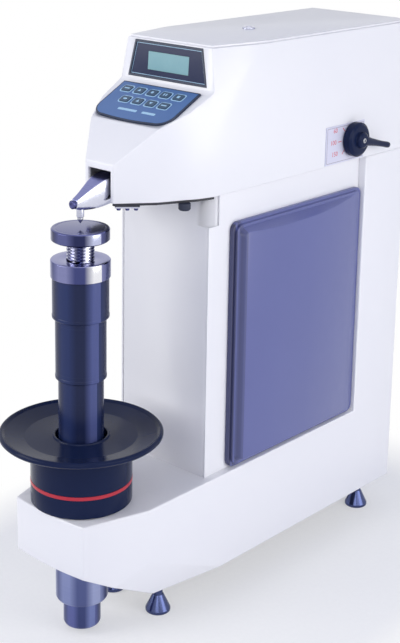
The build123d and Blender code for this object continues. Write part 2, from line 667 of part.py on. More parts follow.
def make_display_bezel():
    """Dark frame of the display with a ledge that carries its window."""
    frame = slab(DISPLAY, trapezoid(), 0.5, -BEZEL_DEEP)
    frame -= slab(DISPLAY, trapezoid(BEZEL_LIP), 1, -WINDOW_THICK - WINDOW_SINK)
    return frame - slab(DISPLAY, trapezoid(WINDOW_INSET), 1, -BEZEL_DEEP - 1)


def make_display_window():
    """Dark window with a clear cut-out for the liquid-crystal screen."""
    sheet = slab(DISPLAY, trapezoid(BEZEL_LIP + SEAT), -WINDOW_SINK, -WINDOW_THICK - WINDOW_SINK)
    hole = Pos(0, LCD_Y) * Rectangle(2 * LCD_HALF + 2 * SEAT, LCD_TALL + 2 * SEAT)
    return sheet - slab(DISPLAY, hole, 1, -BEZEL_DEEP)


def make_lcd_module():
    """Liquid-crystal screen on its carrier plate, behind the window."""
    back = -WINDOW_THICK - WINDOW_SINK
    screen = slab(DISPLAY, Pos(0, LCD_Y) * Rectangle(2 * LCD_HALF, LCD_TALL), -LCD_SINK, back)
    carrier = Pos(0, LCD_Y) * Rectangle(2 * (LCD_HALF + LCD_RIM), LCD_TALL + 2 * LCD_RIM)
    return screen + slab(DISPLAY, carrier, back, -BEZEL_DEEP)


def make_control_board():
    """Circuit board behind the display, on four spacers."""
    back = -BEZEL_DEEP - BOARD_GAP
    board = slab(DISPLAY, Pos(0, LCD_Y) * Rectangle(BOARD_SIZE[0], BOARD_SIZE[2]), back, back - BOARD_SIZE[1])
    for x in (-LCD_HALF, LCD_HALF):
        for y in (-LCD_TALL / 2, LCD_TALL / 2):
            board += slab(DISPLAY, Pos(x, LCD_Y + y) * Circle(3), -BEZEL_DEEP, back)
    chips = [(-30, 10, 24, 12), (18, 4, 30, 16), (-28, -14, 18, 10)]
    for x, y, wide, tall in chips:
        board += slab(DISPLAY, Pos(x, LCD_Y + y) * Rectangle(wide, tall), back - BOARD_SIZE[1],
                      back - BOARD_SIZE[1] - 3)
    return board


def make_keypad_panel():
    """Keypad panel with a blind pocket under each key."""
    panel = slab(KEYPAD, keypad_face(), KEYPAD_PROUD, KEYPAD_PROUD - KEYPAD_THICK)
    floor = KEYPAD_PROUD + KEY_PROUD - KEY_THICK - KEY_TRAVEL - 0.1
    for place in key_places():
        pocket = Pos(*place) * RectangleRounded(KEY_WIDE + 2 * SEAT, KEY_LONG + 2 * SEAT, KEY_ROUND + SEAT)
        panel -= slab(KEYPAD, pocket, KEYPAD_PROUD + 1, floor)
    return panel


def make_key(place):
    """Key cap with rounded corners."""
    top = KEYPAD_PROUD + KEY_PROUD
    return slab(KEYPAD, Pos(*place) * RectangleRounded(KEY_WIDE, KEY_LONG, KEY_ROUND), top, top - KEY_THICK)


# ---------------------------------------------------------------- load selector
def make_dial_plate():
    """Index plate of the load selector, on the head's right side."""
    plate = block((FULL_HALF, FULL_HALF + DIAL_THICK), DIAL_Y, (HEAD_LOW + DIAL_Z[0], HEAD_LOW + DIAL_Z[1]))
    return plate - cross_rod(SELECTOR_R + FREE, FULL_HALF - 1, FULL_HALF + DIAL_THICK + 1, KNOB_Y,
                             HEAD_LOW + KNOB_Z)


def make_selector_knob():
    """Round knob with a tapered handle that points to the rear."""
    z = HEAD_LOW + KNOB_Z
    inner = FULL_HALF + DIAL_THICK + FREE
    outer = inner + KNOB_THICK
    disc = fillet(cross_rod(KNOB_R, inner, outer, KNOB_Y, z).edges(), 2.5)
    hub = fillet(cross_rod(KNOB_HUB_R, outer - 1, outer + KNOB_HUB_LONG, KNOB_Y, z).edges().sort_by(Axis.X)[-1],
                 3.0)
    grip = Rot(-90 - HANDLE_DROOP, 0, 0) * Cone(HANDLE_ROOT_R, HANDLE_R, HANDLE_LONG - HANDLE_R,
                                               align=(Align.CENTER, Align.CENTER, Align.MIN))
    ball = Rot(-90 - HANDLE_DROOP, 0, 0) * Pos(0, 0, HANDLE_LONG - HANDLE_R) * Sphere(HANDLE_R)
    return disc + hub + Pos(outer + 1, KNOB_Y, z) * (grip + ball)


def make_selector_shaft():
    """Shaft of the load selector with its eccentric cam."""
    z = HEAD_LOW + KNOB_Z
    shaft = cross_rod(SELECTOR_R, SELECTOR_END, FULL_HALF + DIAL_THICK + FREE, KNOB_Y, z)
    cam = cross_rod(SELECTOR_CAM_R, SELECTOR_END, SELECTOR_END + SELECTOR_CAM_THICK, KNOB_Y + 4, z)
    return shaft + cam


# ---------------------------------------------------------------- indenter arm
def make_nose_arm():
    """Dolphin-nose arm: a wedge in plan with a sloping back and a hollow clamp nose."""
    belly = [(y, ARM_LOW - drop) for y, drop in ARM_BELLY]
    brow = [(y, ARM_TOP - drop) for y, drop in ARM_BROW]
    side = [(ARM_TIP, ARM_LOW - EDGE)] + belly + [(ARM_BACK, ARM_LOW), (ARM_BACK, ARM_TOP)] + brow
    arm = side_prism(side, -ARM_ROOT_HALF, ARM_ROOT_HALF)
    plan = prism(outline([(ARM_TIP_HALF, ARM_TIP), (ARM_ROOT_HALF, ARM_WEDGE), (ARM_ROOT_HALF, ARM_BACK)]),
                 ARM_LOW - 10, ARM_TOP + 1)
    arm &= plan
    return arm - rod(INDENTER_R, ARM_LOW - 10, INDENTER_Z + INDENTER_LONG)


def make_indenter():
    """Cylindrical indenter with a cone point."""
    return turned([(0, INDENTER_Z), (INDENTER_R * 0.9, INDENTER_Z + INDENTER_CONE),
                   (INDENTER_R, INDENTER_Z + INDENTER_CONE + 0.5),
                   (INDENTER_R, INDENTER_Z + INDENTER_LONG), (0, INDENTER_Z + INDENTER_LONG)])


def make_clamp_screw():
    """Knurled head of the screw that clamps the indenter."""
    head = Rot(90, 0, 0) * Cylinder(CLAMP_R, CLAMP_LONG, align=(Align.CENTER, Align.CENTER, Align.MIN))
    return Pos(0, ARM_TIP, CLAMP_Z) * head


def make_spindle():
    """Spindle that joins the arm to the main lever."""
    top = LEVER_Z - LEVER_DEEP / 2 - SEAT
    shoulder = top - SPINDLE_NOSE
    return turned([(0, ARM_TOP), (SPINDLE_R, ARM_TOP), (SPINDLE_R, shoulder), (SPINDLE_NOSE_R, shoulder),
                   (SPINDLE_NOSE_R, top), (0, top)], 0, SPINDLE_Y)


def make_spindle_bush():
    """Flanged bush that guides the spindle."""
    top = SHELF_TOP + BUSH_FLANGE
    inner = SPINDLE_R + RUN
    return turned([(inner, top - BUSH_LONG), (BUSH_R, top - BUSH_LONG), (BUSH_R, SHELF_TOP),
                   (BUSH_FLANGE_R, SHELF_TOP), (BUSH_FLANGE_R, top), (inner, top)], 0, SPINDLE_Y)


# ---------------------------------------------------------------- load train
def make_head_beam():
    """Cast beam on the column: floor, raised shelf, fulcrum ears and selector ear."""
    beam = block((-BEAM_HALF, BEAM_HALF), (BEAM_FRONT, BACK - COLUMN_WALL), (HEAD_LOW, BEAM_TOP))
    shelf_low = SHELF_TOP - SHELF_THICK
    rear = BEAM_FRONT + SHELF_THICK
    shelf = [(BEAM_FRONT, HEAD_LOW), (rear, HEAD_LOW), (rear, SHELF_TOP), (SHELF_FRONT, SHELF_TOP),
             (SHELF_FRONT, shelf_low), (BEAM_FRONT, shelf_low)]
    beam += side_prism(shelf, -SHELF_HALF, SHELF_HALF)
    for side in (1, -1):
        inside = LEVER_HALF + FREE
        ear = block((inside, inside + EAR_THICK), (FULCRUM_Y - EAR_HALF, FULCRUM_Y + EAR_HALF),
                    (SHELF_TOP - 1, LEVER_Z + FULCRUM_R + EAR_RIM))
        beam += ear if side > 0 else mirror(ear, about=Plane.YZ)
    left = SELECTOR_END + SELECTOR_CAM_THICK + CAM_AIR
    z = HEAD_LOW + KNOB_Z
    beam += block((left, left + EAR_THICK), (KNOB_Y - SELECTOR_EAR, KNOB_Y + SELECTOR_EAR),
                  (BEAM_TOP - 1, z + SELECTOR_EAR))
    beam -= cross_rod(SELECTOR_R + RUN, left - 1, left + EAR_THICK + 1, KNOB_Y, z)
    reach = 2 * EAR_THICK + LEVER_HALF
    beam -= cross_rod(FULCRUM_R + RUN, -reach, reach, FULCRUM_Y, LEVER_Z)
    beam -= rod(BUSH_R, shelf_low - 1, SHELF_TOP + 1, 0, SPINDLE_Y)
    return beam - rod(HANGER_HOLE_R, HEAD_LOW - 1, BEAM_TOP + 1, 0, HANGER_Y)


def make_fulcrum_pin():
    """Pin on which the main lever tilts."""
    half = LEVER_HALF + FREE + EAR_THICK + 1
    return cross_rod(FULCRUM_R, -half, half, FULCRUM_Y, LEVER_Z)


def make_main_lever():
    """Main lever, drilled for its fulcrum pin."""
    half = LEVER_DEEP / 2
    profile = [(FULCRUM_Y - LEVER_NOSE, LEVER_Z - half), (HANGER_Y + LEVER_TAIL, LEVER_Z - half),
               (HANGER_Y + LEVER_TAIL, LEVER_Z + half), (FULCRUM_Y + LEVER_TAPER[0], LEVER_Z + half),
               (FULCRUM_Y - LEVER_NOSE, LEVER_Z + half - LEVER_TAPER[1])]
    lever = side_prism(profile, -LEVER_HALF, LEVER_HALF)
    return lever - cross_rod(FULCRUM_R + RUN, -LEVER_HALF - 1, LEVER_HALF + 1, FULCRUM_Y, LEVER_Z)


def make_weight_hanger():
    """Stirrup over the lever's tail, its rod and the tray that carries the weights."""
    lever_top, lever_low = LEVER_Z + LEVER_DEEP / 2, LEVER_Z - LEVER_DEEP / 2
    bar_z = lever_top + SEAT + STIRRUP_BAR_R
    inside = LEVER_HALF + FREE
    outside = inside + STIRRUP_WALL
    y = (HANGER_Y - STIRRUP_LONG / 2, HANGER_Y + STIRRUP_LONG / 2)
    floor = lever_low - STIRRUP_AIR
    stirrup = block((-outside, outside), y, (floor - STIRRUP_WALL, bar_z + STIRRUP_BAR_R))
    stirrup -= block((-inside, inside), (y[0] - 1, y[1] + 1), (floor, bar_z + STIRRUP_BAR_R + 1))
    stirrup += cross_rod(STIRRUP_BAR_R, -outside, outside, HANGER_Y, bar_z)
    tray_top = floor - HANGER_DROP
    stirrup += rod(HANGER_R, tray_top - 1, floor - 1, 0, HANGER_Y)
    return stirrup + rod(TRAY_R, tray_top - TRAY_THICK, tray_top, 0, HANGER_Y)


def make_weight_stack():
    """Round weights stacked on the hanger's tray."""
    tray_top = LEVER_Z - LEVER_DEEP / 2 - STIRRUP_AIR - HANGER_DROP
    stack = []
    for i in range(WEIGHT_COUNT):
        low = tray_top + i * WEIGHT_THICK
        disc = tube(WEIGHT_R, HANGER_R + FREE, low, low + WEIGHT_THICK, 0, HANGER_Y)
        rims = disc.edges().filter_by(GeomType.CIRCLE).filter_by(lambda e: e.radius > HANGER_R + 1)
        stack.append(chamfer(rims, 1.5))
    return Compound(children=stack)


def make_lift_motor():
    """Geared motor of the load cam on its foot."""
    z = BEAM_TOP + MOTOR_R
    right = -LEVER_HALF - MOTOR_AIR
    half, tall, inset = MOTOR_FOOT
    motor = cross_rod(MOTOR_R, right - MOTOR_LONG, right, MOTOR_Y, z)
    motor += block((right - MOTOR_LONG + inset, right - inset), (MOTOR_Y - half, MOTOR_Y + half),
                   (BEAM_TOP, BEAM_TOP + tall))
    return motor - cross_rod(CAM_SHAFT_R + RUN, right - CAM_SHAFT_IN - 1, right + 1, MOTOR_Y, z)


def make_lift_cam():
    """Eccentric cam on the motor's shaft, under the main lever."""
    z = BEAM_TOP + MOTOR_R
    left = -LEVER_HALF - MOTOR_AIR - CAM_SHAFT_IN
    shaft = cross_rod(CAM_SHAFT_R, left, CAM_THICK / 2, MOTOR_Y, z)
    return shaft + cross_rod(CAM_R, -CAM_THICK / 2, CAM_THICK / 2, MOTOR_Y, z - CAM_THROW)


def make_depth_sensor():
    """Displacement sensor beside the spindle."""
    wide, long, tall = SENSOR_SIZE
    body = block((SENSOR_X - wide / 2, SENSOR_X + wide / 2), (SPINDLE_Y - long / 2, SPINDLE_Y + long / 2),
                 (SHELF_TOP, SHELF_TOP + tall))
    return body


def make_transformer():
    """Mains transformer on the column's floor."""
    wide, long, tall = TRANSFORMER_SIZE
    low = BASE_TOP + COLUMN_FLOOR
    side, end, rim = WINDING_INSET
    near, far = TRANSFORMER_Y - long / 2, TRANSFORMER_Y + long / 2
    core = block((-wide / 2, wide / 2), (near + end, far - end), (low, low + tall))
    return core + block((side - wide / 2, wide / 2 - side), (near, far), (low + rim, low + tall - rim))


def make_under_plate():
    """Dark plate under the head's nose, slotted for the indenter arm."""
    half = Rectangle(4 * FULL_HALF, 2 * COLUMN_FRONT, align=(Align.CENTER, Align.MAX))
    plan = head_outline(HEAD_WALL - EDGE) & (Pos(0, COLUMN_FRONT - FREE) * half)
    plate = Pos(0, 0, HEAD_LOW - UNDER_THICK) * extrude(plan, amount=UNDER_THICK)
    slot = block((-MOUTH_HALF, MOUTH_HALF), (0, ARM_BACK + ARM_ROOT_HALF / 2),
                 (HEAD_LOW - UNDER_THICK - 1, HEAD_LOW + 1))
    return plate - slot


# ---------------------------------------------------------------- elevating screw
def make_elevating_screw():
    """Screw spindle with the bore for the anvil's shank."""
    low = CAP_LOW + CAP_FLOOR
    screw = turned([(0, low), (SCREW_R - 1, low), (SCREW_R, low + 1), (SCREW_R, SCREW_TOP), (0, SCREW_TOP)])
    return screw - rod(ANVIL_SHANK_R + RUN, SCREW_TOP - ANVIL_SHANK_LONG - 1, SCREW_TOP + 1)


def make_anvil():
    """Flat anvil with its shank."""
    low = SCREW_TOP - ANVIL_SHANK_LONG
    return turned([(0, low), (ANVIL_SHANK_R - 1, low), (ANVIL_SHANK_R, low + 1), (ANVIL_SHANK_R, SCREW_TOP),
                   (ANVIL_R - 1, SCREW_TOP), (ANVIL_R, SCREW_TOP + 1), (ANVIL_R, ANVIL_Z - 1),
                   (ANVIL_R - 1, ANVIL_Z), (0, ANVIL_Z)])


def make_screw_collar():
    """Steel collar on the screw that carries the upper sleeve."""
    inner = SCREW_R + RUN
    return turned([(inner, COLLAR_LOW), (COLLAR_R - 1, COLLAR_LOW), (COLLAR_R, COLLAR_LOW + 1),
                   (COLLAR_R, COLLAR_TOP - 1), (COLLAR_R - 1, COLLAR_TOP), (inner, COLLAR_TOP)])


def make_sleeve(index):
    """One telescoping sleeve with a bevelled lower edge."""
    outer, low, high = SLEEVE_R[index], SLEEVE_LOW[index], SLEEVE_HIGH[index]
    inner = outer - SLEEVE_WALL
    return turned([(inner, low), (outer - SLEEVE_BEVEL, low), (outer, low + SLEEVE_BEVEL), (outer, high),
                   (inner, high)])


def make_elevating_nut():
    """Bronze nut: its flange carries the handwheel and rests on the bearing."""
    inner = SCREW_R + RUN
    return turned([(inner, BASE_TOP - NUT_LONG), (NUT_R, BASE_TOP - NUT_LONG), (NUT_R, BASE_TOP),
                   (NUT_FLANGE_R, BASE_TOP), (NUT_FLANGE_R, BASE_TOP + NUT_FLANGE),
                   (inner, BASE_TOP + NUT_FLANGE)])


def make_thrust_bearing():
    """Thrust bearing: two washers and a ring of balls in one cage."""
    inner, outer = BEARING_R
    low = BASE_TOP - BEARING_TALL
    pitch = (inner + outer) / 2
    parts = [tube(outer, inner, low, low + BEARING_WASHER),
             tube(outer, inner, BASE_TOP - BEARING_WASHER, BASE_TOP)]
    for i in range(BALL_COUNT):
        place = PolarLocations(pitch, BALL_COUNT).locations[i]
        parts.append(Pos(0, 0, low + BEARING_TALL / 2) * place * Sphere(BALL_R))
    return Compound(children=parts)


def make_guard_tube():
    """Fixed tube under the base that guards the screw's lower end."""
    high = BASE_TOP - BOSS_TALL
    low = high - GUARD_LONG
    guard = turned([(GUARD_BORE_R, low), (GUARD_R, low), (GUARD_R, high), (GUARD_BORE_R, high)])
    rim = guard.edges().filter_by(GeomType.CIRCLE).filter_by(
        lambda e: e.radius > GUARD_R - 1 and e.center().Z < low + 1)
    return fillet(rim, GUARD_ROUND)


def make_screw_cap():
    """Closed cap on the screw's lower end."""
    high = CAP_LOW + CAP_LONG
    bore = SCREW_R + RUN
    cap = turned([(0, CAP_LOW), (CAP_R, CAP_LOW), (CAP_R, high), (bore, high), (bore, CAP_LOW + CAP_FLOOR),
                  (0, CAP_LOW + CAP_FLOOR)])
    rim = cap.edges().filter_by(GeomType.CIRCLE).filter_by(lambda e: e.center().Z < CAP_LOW + 1)
    return fillet(rim, CAP_ROUND)


# ---------------------------------------------------------------- handwheel
def make_handwheel():
    """Dished handwheel: rim, drum skirt and the well that the sleeves sink into."""
    top = BASE_TOP + WHEEL_TOP
    web_low = BASE_TOP + NUT_FLANGE
    dish = top - DISH_DEEP
    under = dish - DISH_WALL
    wheel = turned([
        (SCREW_R + 4, web_low), (WELL_R + WELL_WALL, web_low), (WELL_R + WELL_WALL, under),
        (DRUM_R - DRUM_WALL, under), (DRUM_R - DRUM_WALL, BASE_TOP + DRUM_GAP), (DRUM_R, BASE_TOP + DRUM_GAP),
        (DRUM_R, under - 1), (WHEEL_R - 10, top - RIM_THICK - 1.5), (WHEEL_R, top - RIM_THICK + 2),
        (WHEEL_R, top), (WHEEL_R - 4, top), (WHEEL_R - 8, top - 3), (WHEEL_R - RIM_WIDE, dish),
        (HUB_LIP_R, dish), (HUB_LIP_R, dish + HUB_LIP), (WELL_R, dish + HUB_LIP),
        (WELL_R, web_low + WEB_THICK),
        (SCREW_R + 4, web_low + WEB_THICK)])
    rims = wheel.edges().filter_by(GeomType.CIRCLE).filter_by(
        lambda e: e.radius > WHEEL_R - 5 and e.center().Z > top - 1)
    wheel = fillet(rims, 1.4)
    stripe = BASE_TOP + STRIPE_Z
    return wheel - tube(DRUM_R + 1, DRUM_R - STRIPE_DEEP, stripe, stripe + STRIPE_TALL)


def make_red_ring():
    """Red ring let into the handwheel's drum."""
    stripe = BASE_TOP + STRIPE_Z
    return tube(DRUM_R + 0.3, DRUM_R - STRIPE_DEEP, stripe, stripe + STRIPE_TALL)


# ---------------------------------------------------------------- build
def build_parts():
    """All nodes of the machine by name."""
    parts = {
        "machine_frame": make_machine_frame(),
        "rear_cover": make_rear_cover(),
        "power_inlet": make_power_inlet(),
        "switch_frame": make_switch_frame(),
        "switch_rocker": make_switch_rocker(),
        "head_cover": make_head_cover(),
        "top_lid": make_top_lid(),
        "top_plug": make_top_plug(),
        "under_plate": make_under_plate(),
        "display_bezel": make_display_bezel(),
        "display_window": make_display_window(),
        "lcd_module": make_lcd_module(),
        "control_board": make_control_board(),
        "keypad_panel": make_keypad_panel(),
        "dial_plate": make_dial_plate(),
        "selector_knob": make_selector_knob(),
        "selector_shaft": make_selector_shaft(),
        "nose_arm": make_nose_arm(),
        "indenter": make_indenter(),
        "clamp_screw": make_clamp_screw(),
        "spindle": make_spindle(),
        "spindle_bush": make_spindle_bush(),
        "head_beam": make_head_beam(),
        "fulcrum_pin": make_fulcrum_pin(),
        "main_lever": make_main_lever(),
        "weight_hanger": make_weight_hanger(),
        "weight_stack": make_weight_stack(),
        "lift_motor": make_lift_motor(),
        "lift_cam": make_lift_cam(),
        "depth_sensor": make_depth_sensor(),
        "transformer": make_transformer(),
        "elevating_screw": make_elevating_screw(),
        "anvil": make_anvil(),
        "screw_collar": make_screw_collar(),
        "elevating_nut": make_elevating_nut(),
        "thrust_bearing": make_thrust_bearing(),
        "guard_tube": make_guard_tube(),
        "screw_cap": make_screw_cap(),
        "handwheel": make_handwheel(),
        "red_ring": make_red_ring(),
    }
    parts["side_plate_right"], parts["side_plate_left"] = both_sides(make_side_plate())
    parts["side_panel_right"], parts["side_panel_left"] = both_sides(make_side_panel())
    for index, name in enumerate(("upper", "middle", "lower")):
        parts[f"sleeve_{name}"] = make_sleeve(index)
    for number, place in enumerate(key_places(), start=1):
        parts[f"key_{number}"] = make_key(place)
    for name, place in zip(("front_left", "front_right", "rear_left", "rear_right"), foot_places()):
        parts[f"foot_{name}"] = make_foot(*place)
    return parts


for node, solid in build_parts().items():
    export_step(solid, f"parts/{node}.step")
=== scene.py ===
"""Dressed model of a bench hardness tester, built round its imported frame.

Metres, +Z up.  The origin lies on the bench under the elevating screw, and the front faces -Y.
Sizes in the classes below are millimetres unless they say otherwise.
"""
from __future__ import annotations

import json
import logging
import math
from collections.abc import Callable, Iterable, Sequence
from dataclasses import dataclass
from enum import Enum

import bmesh
import bpy
from mathutils import Matrix, Vector


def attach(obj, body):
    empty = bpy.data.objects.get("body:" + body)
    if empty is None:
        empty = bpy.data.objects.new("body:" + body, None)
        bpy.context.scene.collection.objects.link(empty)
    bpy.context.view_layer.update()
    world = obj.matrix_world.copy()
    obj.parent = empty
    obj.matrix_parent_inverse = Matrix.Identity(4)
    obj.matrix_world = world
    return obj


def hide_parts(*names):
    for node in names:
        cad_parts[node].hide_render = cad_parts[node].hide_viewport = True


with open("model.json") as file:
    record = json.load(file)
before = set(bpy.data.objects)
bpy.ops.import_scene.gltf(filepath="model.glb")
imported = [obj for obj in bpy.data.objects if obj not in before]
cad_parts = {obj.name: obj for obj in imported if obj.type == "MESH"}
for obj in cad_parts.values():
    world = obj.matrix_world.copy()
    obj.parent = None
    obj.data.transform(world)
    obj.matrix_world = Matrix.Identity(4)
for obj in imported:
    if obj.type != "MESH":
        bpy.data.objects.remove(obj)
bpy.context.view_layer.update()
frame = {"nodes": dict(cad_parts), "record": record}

LOG = logging.getLogger("tester")
MM = 0.001
TAU = 2 * math.pi
Colour = tuple[float, float, float]
Point2 = tuple[float, float]
Point3 = tuple[float, float, float]
Mesh = bmesh.types.BMesh
HEAD_TOP = 786.0
SCREW_TOP = 548.5
ANVIL_FACE = 564.5
WELD_GAP = 0.004
FLAT_ANGLE = math.radians(0.4)
SHARP_ANGLE = math.radians(18)


# ---------------------------------------------------------------- shader maths
class Wire:
    """Output socket of a node tree, whose arithmetic adds Math nodes."""

    def __init__(self, bench: "Bench", socket: bpy.types.NodeSocket) -> None:
        """Keep the bench that owns the nodes, and the socket."""
        self.bench = bench
        self.socket = socket

    def maths(self, operation: str, *values: "Wire | float") -> "Wire":
        """Add one Math node.

        Args:
            operation: Math node operation.
            values: Inputs in the node's order.

        Returns:
            The node's output.
        """
        node = self.bench.node("ShaderNodeMath", {"operation": operation}, dict(enumerate(values)))
        return Wire(self.bench, node.outputs[0])

    def __add__(self, other: "Wire | float") -> "Wire":
        """Sum."""
        return self.maths("ADD", self, other)

    def __radd__(self, other: float) -> "Wire":
        """Reflected sum."""
        return self.maths("ADD", other, self)

    def __sub__(self, other: "Wire | float") -> "Wire":
        """Difference."""
        return self.maths("SUBTRACT", self, other)

    def __rsub__(self, other: float) -> "Wire":
        """Reflected difference."""
        return self.maths("SUBTRACT", other, self)

    def __mul__(self, other: "Wire | float") -> "Wire":
        """Product."""
        return self.maths("MULTIPLY", self, other)

    def __truediv__(self, other: "Wire | float") -> "Wire":
        """Quotient."""
        return self.maths("DIVIDE", self, other)

    def __pow__(self, other: "Wire | float") -> "Wire":
        """Power."""
        return self.maths("POWER", self, other)

    def fraction(self) -> "Wire":
        """Fractional part."""
        return self.maths("FRACT", self)

    def above(self, level: float) -> "Wire":
        """Mask that is one where the value is over a level."""
        return self.maths("GREATER_THAN", self, level)

    def band(self, middle: float, width: float) -> "Wire":
        """Mask that is one within a width of a middle value."""
        return self.maths("COMPARE", self, middle, width)


class Bench:
    """Node tree under construction."""

    def __init__(self, tree: bpy.types.NodeTree) -> None:
        """Keep the tree."""
        self.tree = tree

    def node(self, kind: str, settings: dict | None = None, feeds: dict | None = None) -> bpy.types.Node:
        """Add one node.

        Args:
            kind: Node type.
            settings: Properties set first; "stops" gives a ramp's stops.
            feeds: Input name or index to a value or a Wire.

        Returns:
            The new node.
        """
        node = self.tree.nodes.new(kind)
        for key, value in (settings or {}).items():
            if key == "stops":
                self._set_stops(node, value)
            else:
                setattr(node, key, value)
        for key, value in (feeds or {}).items():
            self.feed(node.inputs[key], value)
        return node

    def _set_stops(self, node: bpy.types.Node, stops: Sequence[tuple[float, Colour]]) -> None:
        """Replace a ramp's stops."""
        elements = node.color_ramp.elements
        while len(elements) < len(stops):
            elements.new(0.5)
        for element, (place, tone) in zip(elements, stops):
            element.position = place
            element.color = (*tone, 1.0)

    def feed(self, socket: bpy.types.NodeSocket, value: "Wire | float | Sequence[float]") -> None:
        """Link a Wire to a socket, or set the socket's value."""
        if isinstance(value, Wire):
            self.tree.links.new(value.socket, socket)
        elif socket.type == "RGBA":
            socket.default_value = (*value, 1.0)
        else:
            socket.default_value = value

    def wire(self, node: bpy.types.Node, output: str | int = 0) -> Wire:
        """Wire of one output of a node."""
        return Wire(self, node.outputs[output])

    def split(self, vector: Wire) -> tuple[Wire, Wire, Wire]:
        """Three components of a vector."""
        node = self.node("ShaderNodeSeparateXYZ", None, {0: vector})
        return self.wire(node, 0), self.wire(node, 1), self.wire(node, 2)

    def join(self, x: Wire | float, y: Wire | float, z: Wire | float) -> Wire:
        """Vector of three components."""
        return self.wire(self.node("ShaderNodeCombineXYZ", None, {0: x, 1: y, 2: z}))


class Mixture(Bench):
    """Node material under construction."""

    def __init__(self, name: str) -> None:
        """Start an empty material with a Principled shader."""
        self.material = bpy.data.materials.new(name)
        self.material.use_nodes = True
        super().__init__(self.material.node_tree)
        self.tree.nodes.clear()
        self.shader = self.node("ShaderNodeBsdfPrincipled")
        out = self.node("ShaderNodeOutputMaterial")
        self.tree.links.new(self.shader.outputs[0], out.inputs[0])

    def place(self, location: Sequence[float] = (0, 0, 0), scale: Sequence[float] = (1, 1, 1),
              turn: Sequence[float] = (0, 0, 0)) -> Wire:
        """Object coordinates, centred, turned and scaled by a Mapping node.

        Args:
            location: Place in metres that becomes the pattern's origin.
            scale: Scale along each axis.
            turn: Turn in radians, after the move.

        Returns:
            The pattern's coordinates.
        """
        coords = self.wire(self.node("ShaderNodeTexCoord"), "Object")
        away = tuple(-v for v in location)
        moved = self.wire(self.node("ShaderNodeMapping", None, {"Vector": coords, "Location": away}))
        if not any(turn) and tuple(scale) == (1, 1, 1):
            return moved
        return self.wire(self.node("ShaderNodeMapping", None,
                                   {"Vector": moved, "Rotation": tuple(turn), "Scale": tuple(scale)}))

    def noise(self, coords: Wire, scale: float, detail: float = 3.0, roughness: float = 0.5) -> Wire:
        """Fractal noise, about 0.5 on average."""
        return self.wire(self.node("ShaderNodeTexNoise", None, {
            "Vector": coords, "Scale": scale, "Detail": detail, "Roughness": roughness}))

    def cells(self, coords: Wire, scale: float) -> Wire:
        """Distance to the nearest point of a random grid."""
        return self.wire(self.node("ShaderNodeTexVoronoi", None, {"Vector": coords, "Scale": scale}))

    def ramp(self, factor: Wire, stops: Sequence[tuple[float, Colour]]) -> Wire:
        """Colour ramp."""
        return self.wire(self.node("ShaderNodeValToRGB", {"stops": stops}, {0: factor}))

    def blend(self, factor: Wire | float, first: Wire | Colour, second: Wire | Colour) -> Wire:
        """Mix of two colours."""
        return self.wire(self.node("ShaderNodeMix", {"data_type": "RGBA"},
                                   {0: factor, 6: first, 7: second}), 2)

    def span(self, factor: Wire, low: float, high: float) -> Wire:
        """Map a 0 to 1 value to a range."""
        return factor * (high - low) + low

    def rings(self, coords: Wire) -> Wire:
        """Distance from the local Z axis and height, as the first two components of a vector."""
        x, y, z = self.split(coords)
        radius = (x * x + y * y) ** 0.5
        return self.join(radius, z, 0.0)

    def relief(self, height: Wire, depth: float, strength: float = 1.0, under: Wire | None = None) -> Wire:
        """Bump of a height pattern.

        Args:
            height: Pattern from 0 to 1.
            depth: Depth in metres of the full pattern.
            strength: Share of the effect.
            under: Relief that this one lies on.

        Returns:
            The bumped normal.
        """
        feeds: dict = {"Height": height, "Distance": depth, "Strength": strength}
        if under is not None:
            feeds["Normal"] = under
        return self.wire(self.node("ShaderNodeBump", None, feeds))

    def finish(self, **sockets: "Wire | float | Sequence[float]") -> bpy.types.Material:
        """Set the shader's sockets, named with underscores for spaces.

        Args:
            sockets: Values or Wires by socket name.

        Returns:
            The finished material.
        """
        for key, value in sockets.items():
            self.feed(self.shader.inputs[key.replace("_", " ")], value)
        return self.material


# ---------------------------------------------------------------- finishes
class Lay(Enum):
    """Axis that a machined surface was turned on."""

    UPRIGHT = (0.0, 0.0, 0.0)
    ACROSS = (0.0, math.pi / 2, 0.0)
    ENDWAYS = (math.pi / 2, 0.0, 0.0)


@dataclass(frozen=True)
class Enamel:
    """Sprayed enamel with a faint orange peel and an uneven sheen."""

    name: str = "white_enamel"
    tone: Colour = (0.835, 0.83, 0.855)
    dusk: Colour = (0.80, 0.80, 0.84)
    roughness: float = 0.33
    peel: float = 900.0
    peel_depth: float = 0.00006

    def build(self) -> bpy.types.Material:
        """Build the material."""
        mix = Mixture(self.name)
        coords = mix.place()
        cloud = mix.noise(coords, 6.0, 4.0)
        fine = mix.noise(coords, self.peel, 2.0)
        tone = mix.blend(cloud, self.dusk, self.tone)
        sheen = mix.span(mix.noise(coords, 22.0, 3.0), self.roughness - 0.05, self.roughness + 0.08)
        return mix.finish(Base_Color=tone, Roughness=sheen, Coat_Weight=0.25, Coat_Roughness=0.15,
                          Normal=mix.relief(fine, self.peel_depth, 0.35))


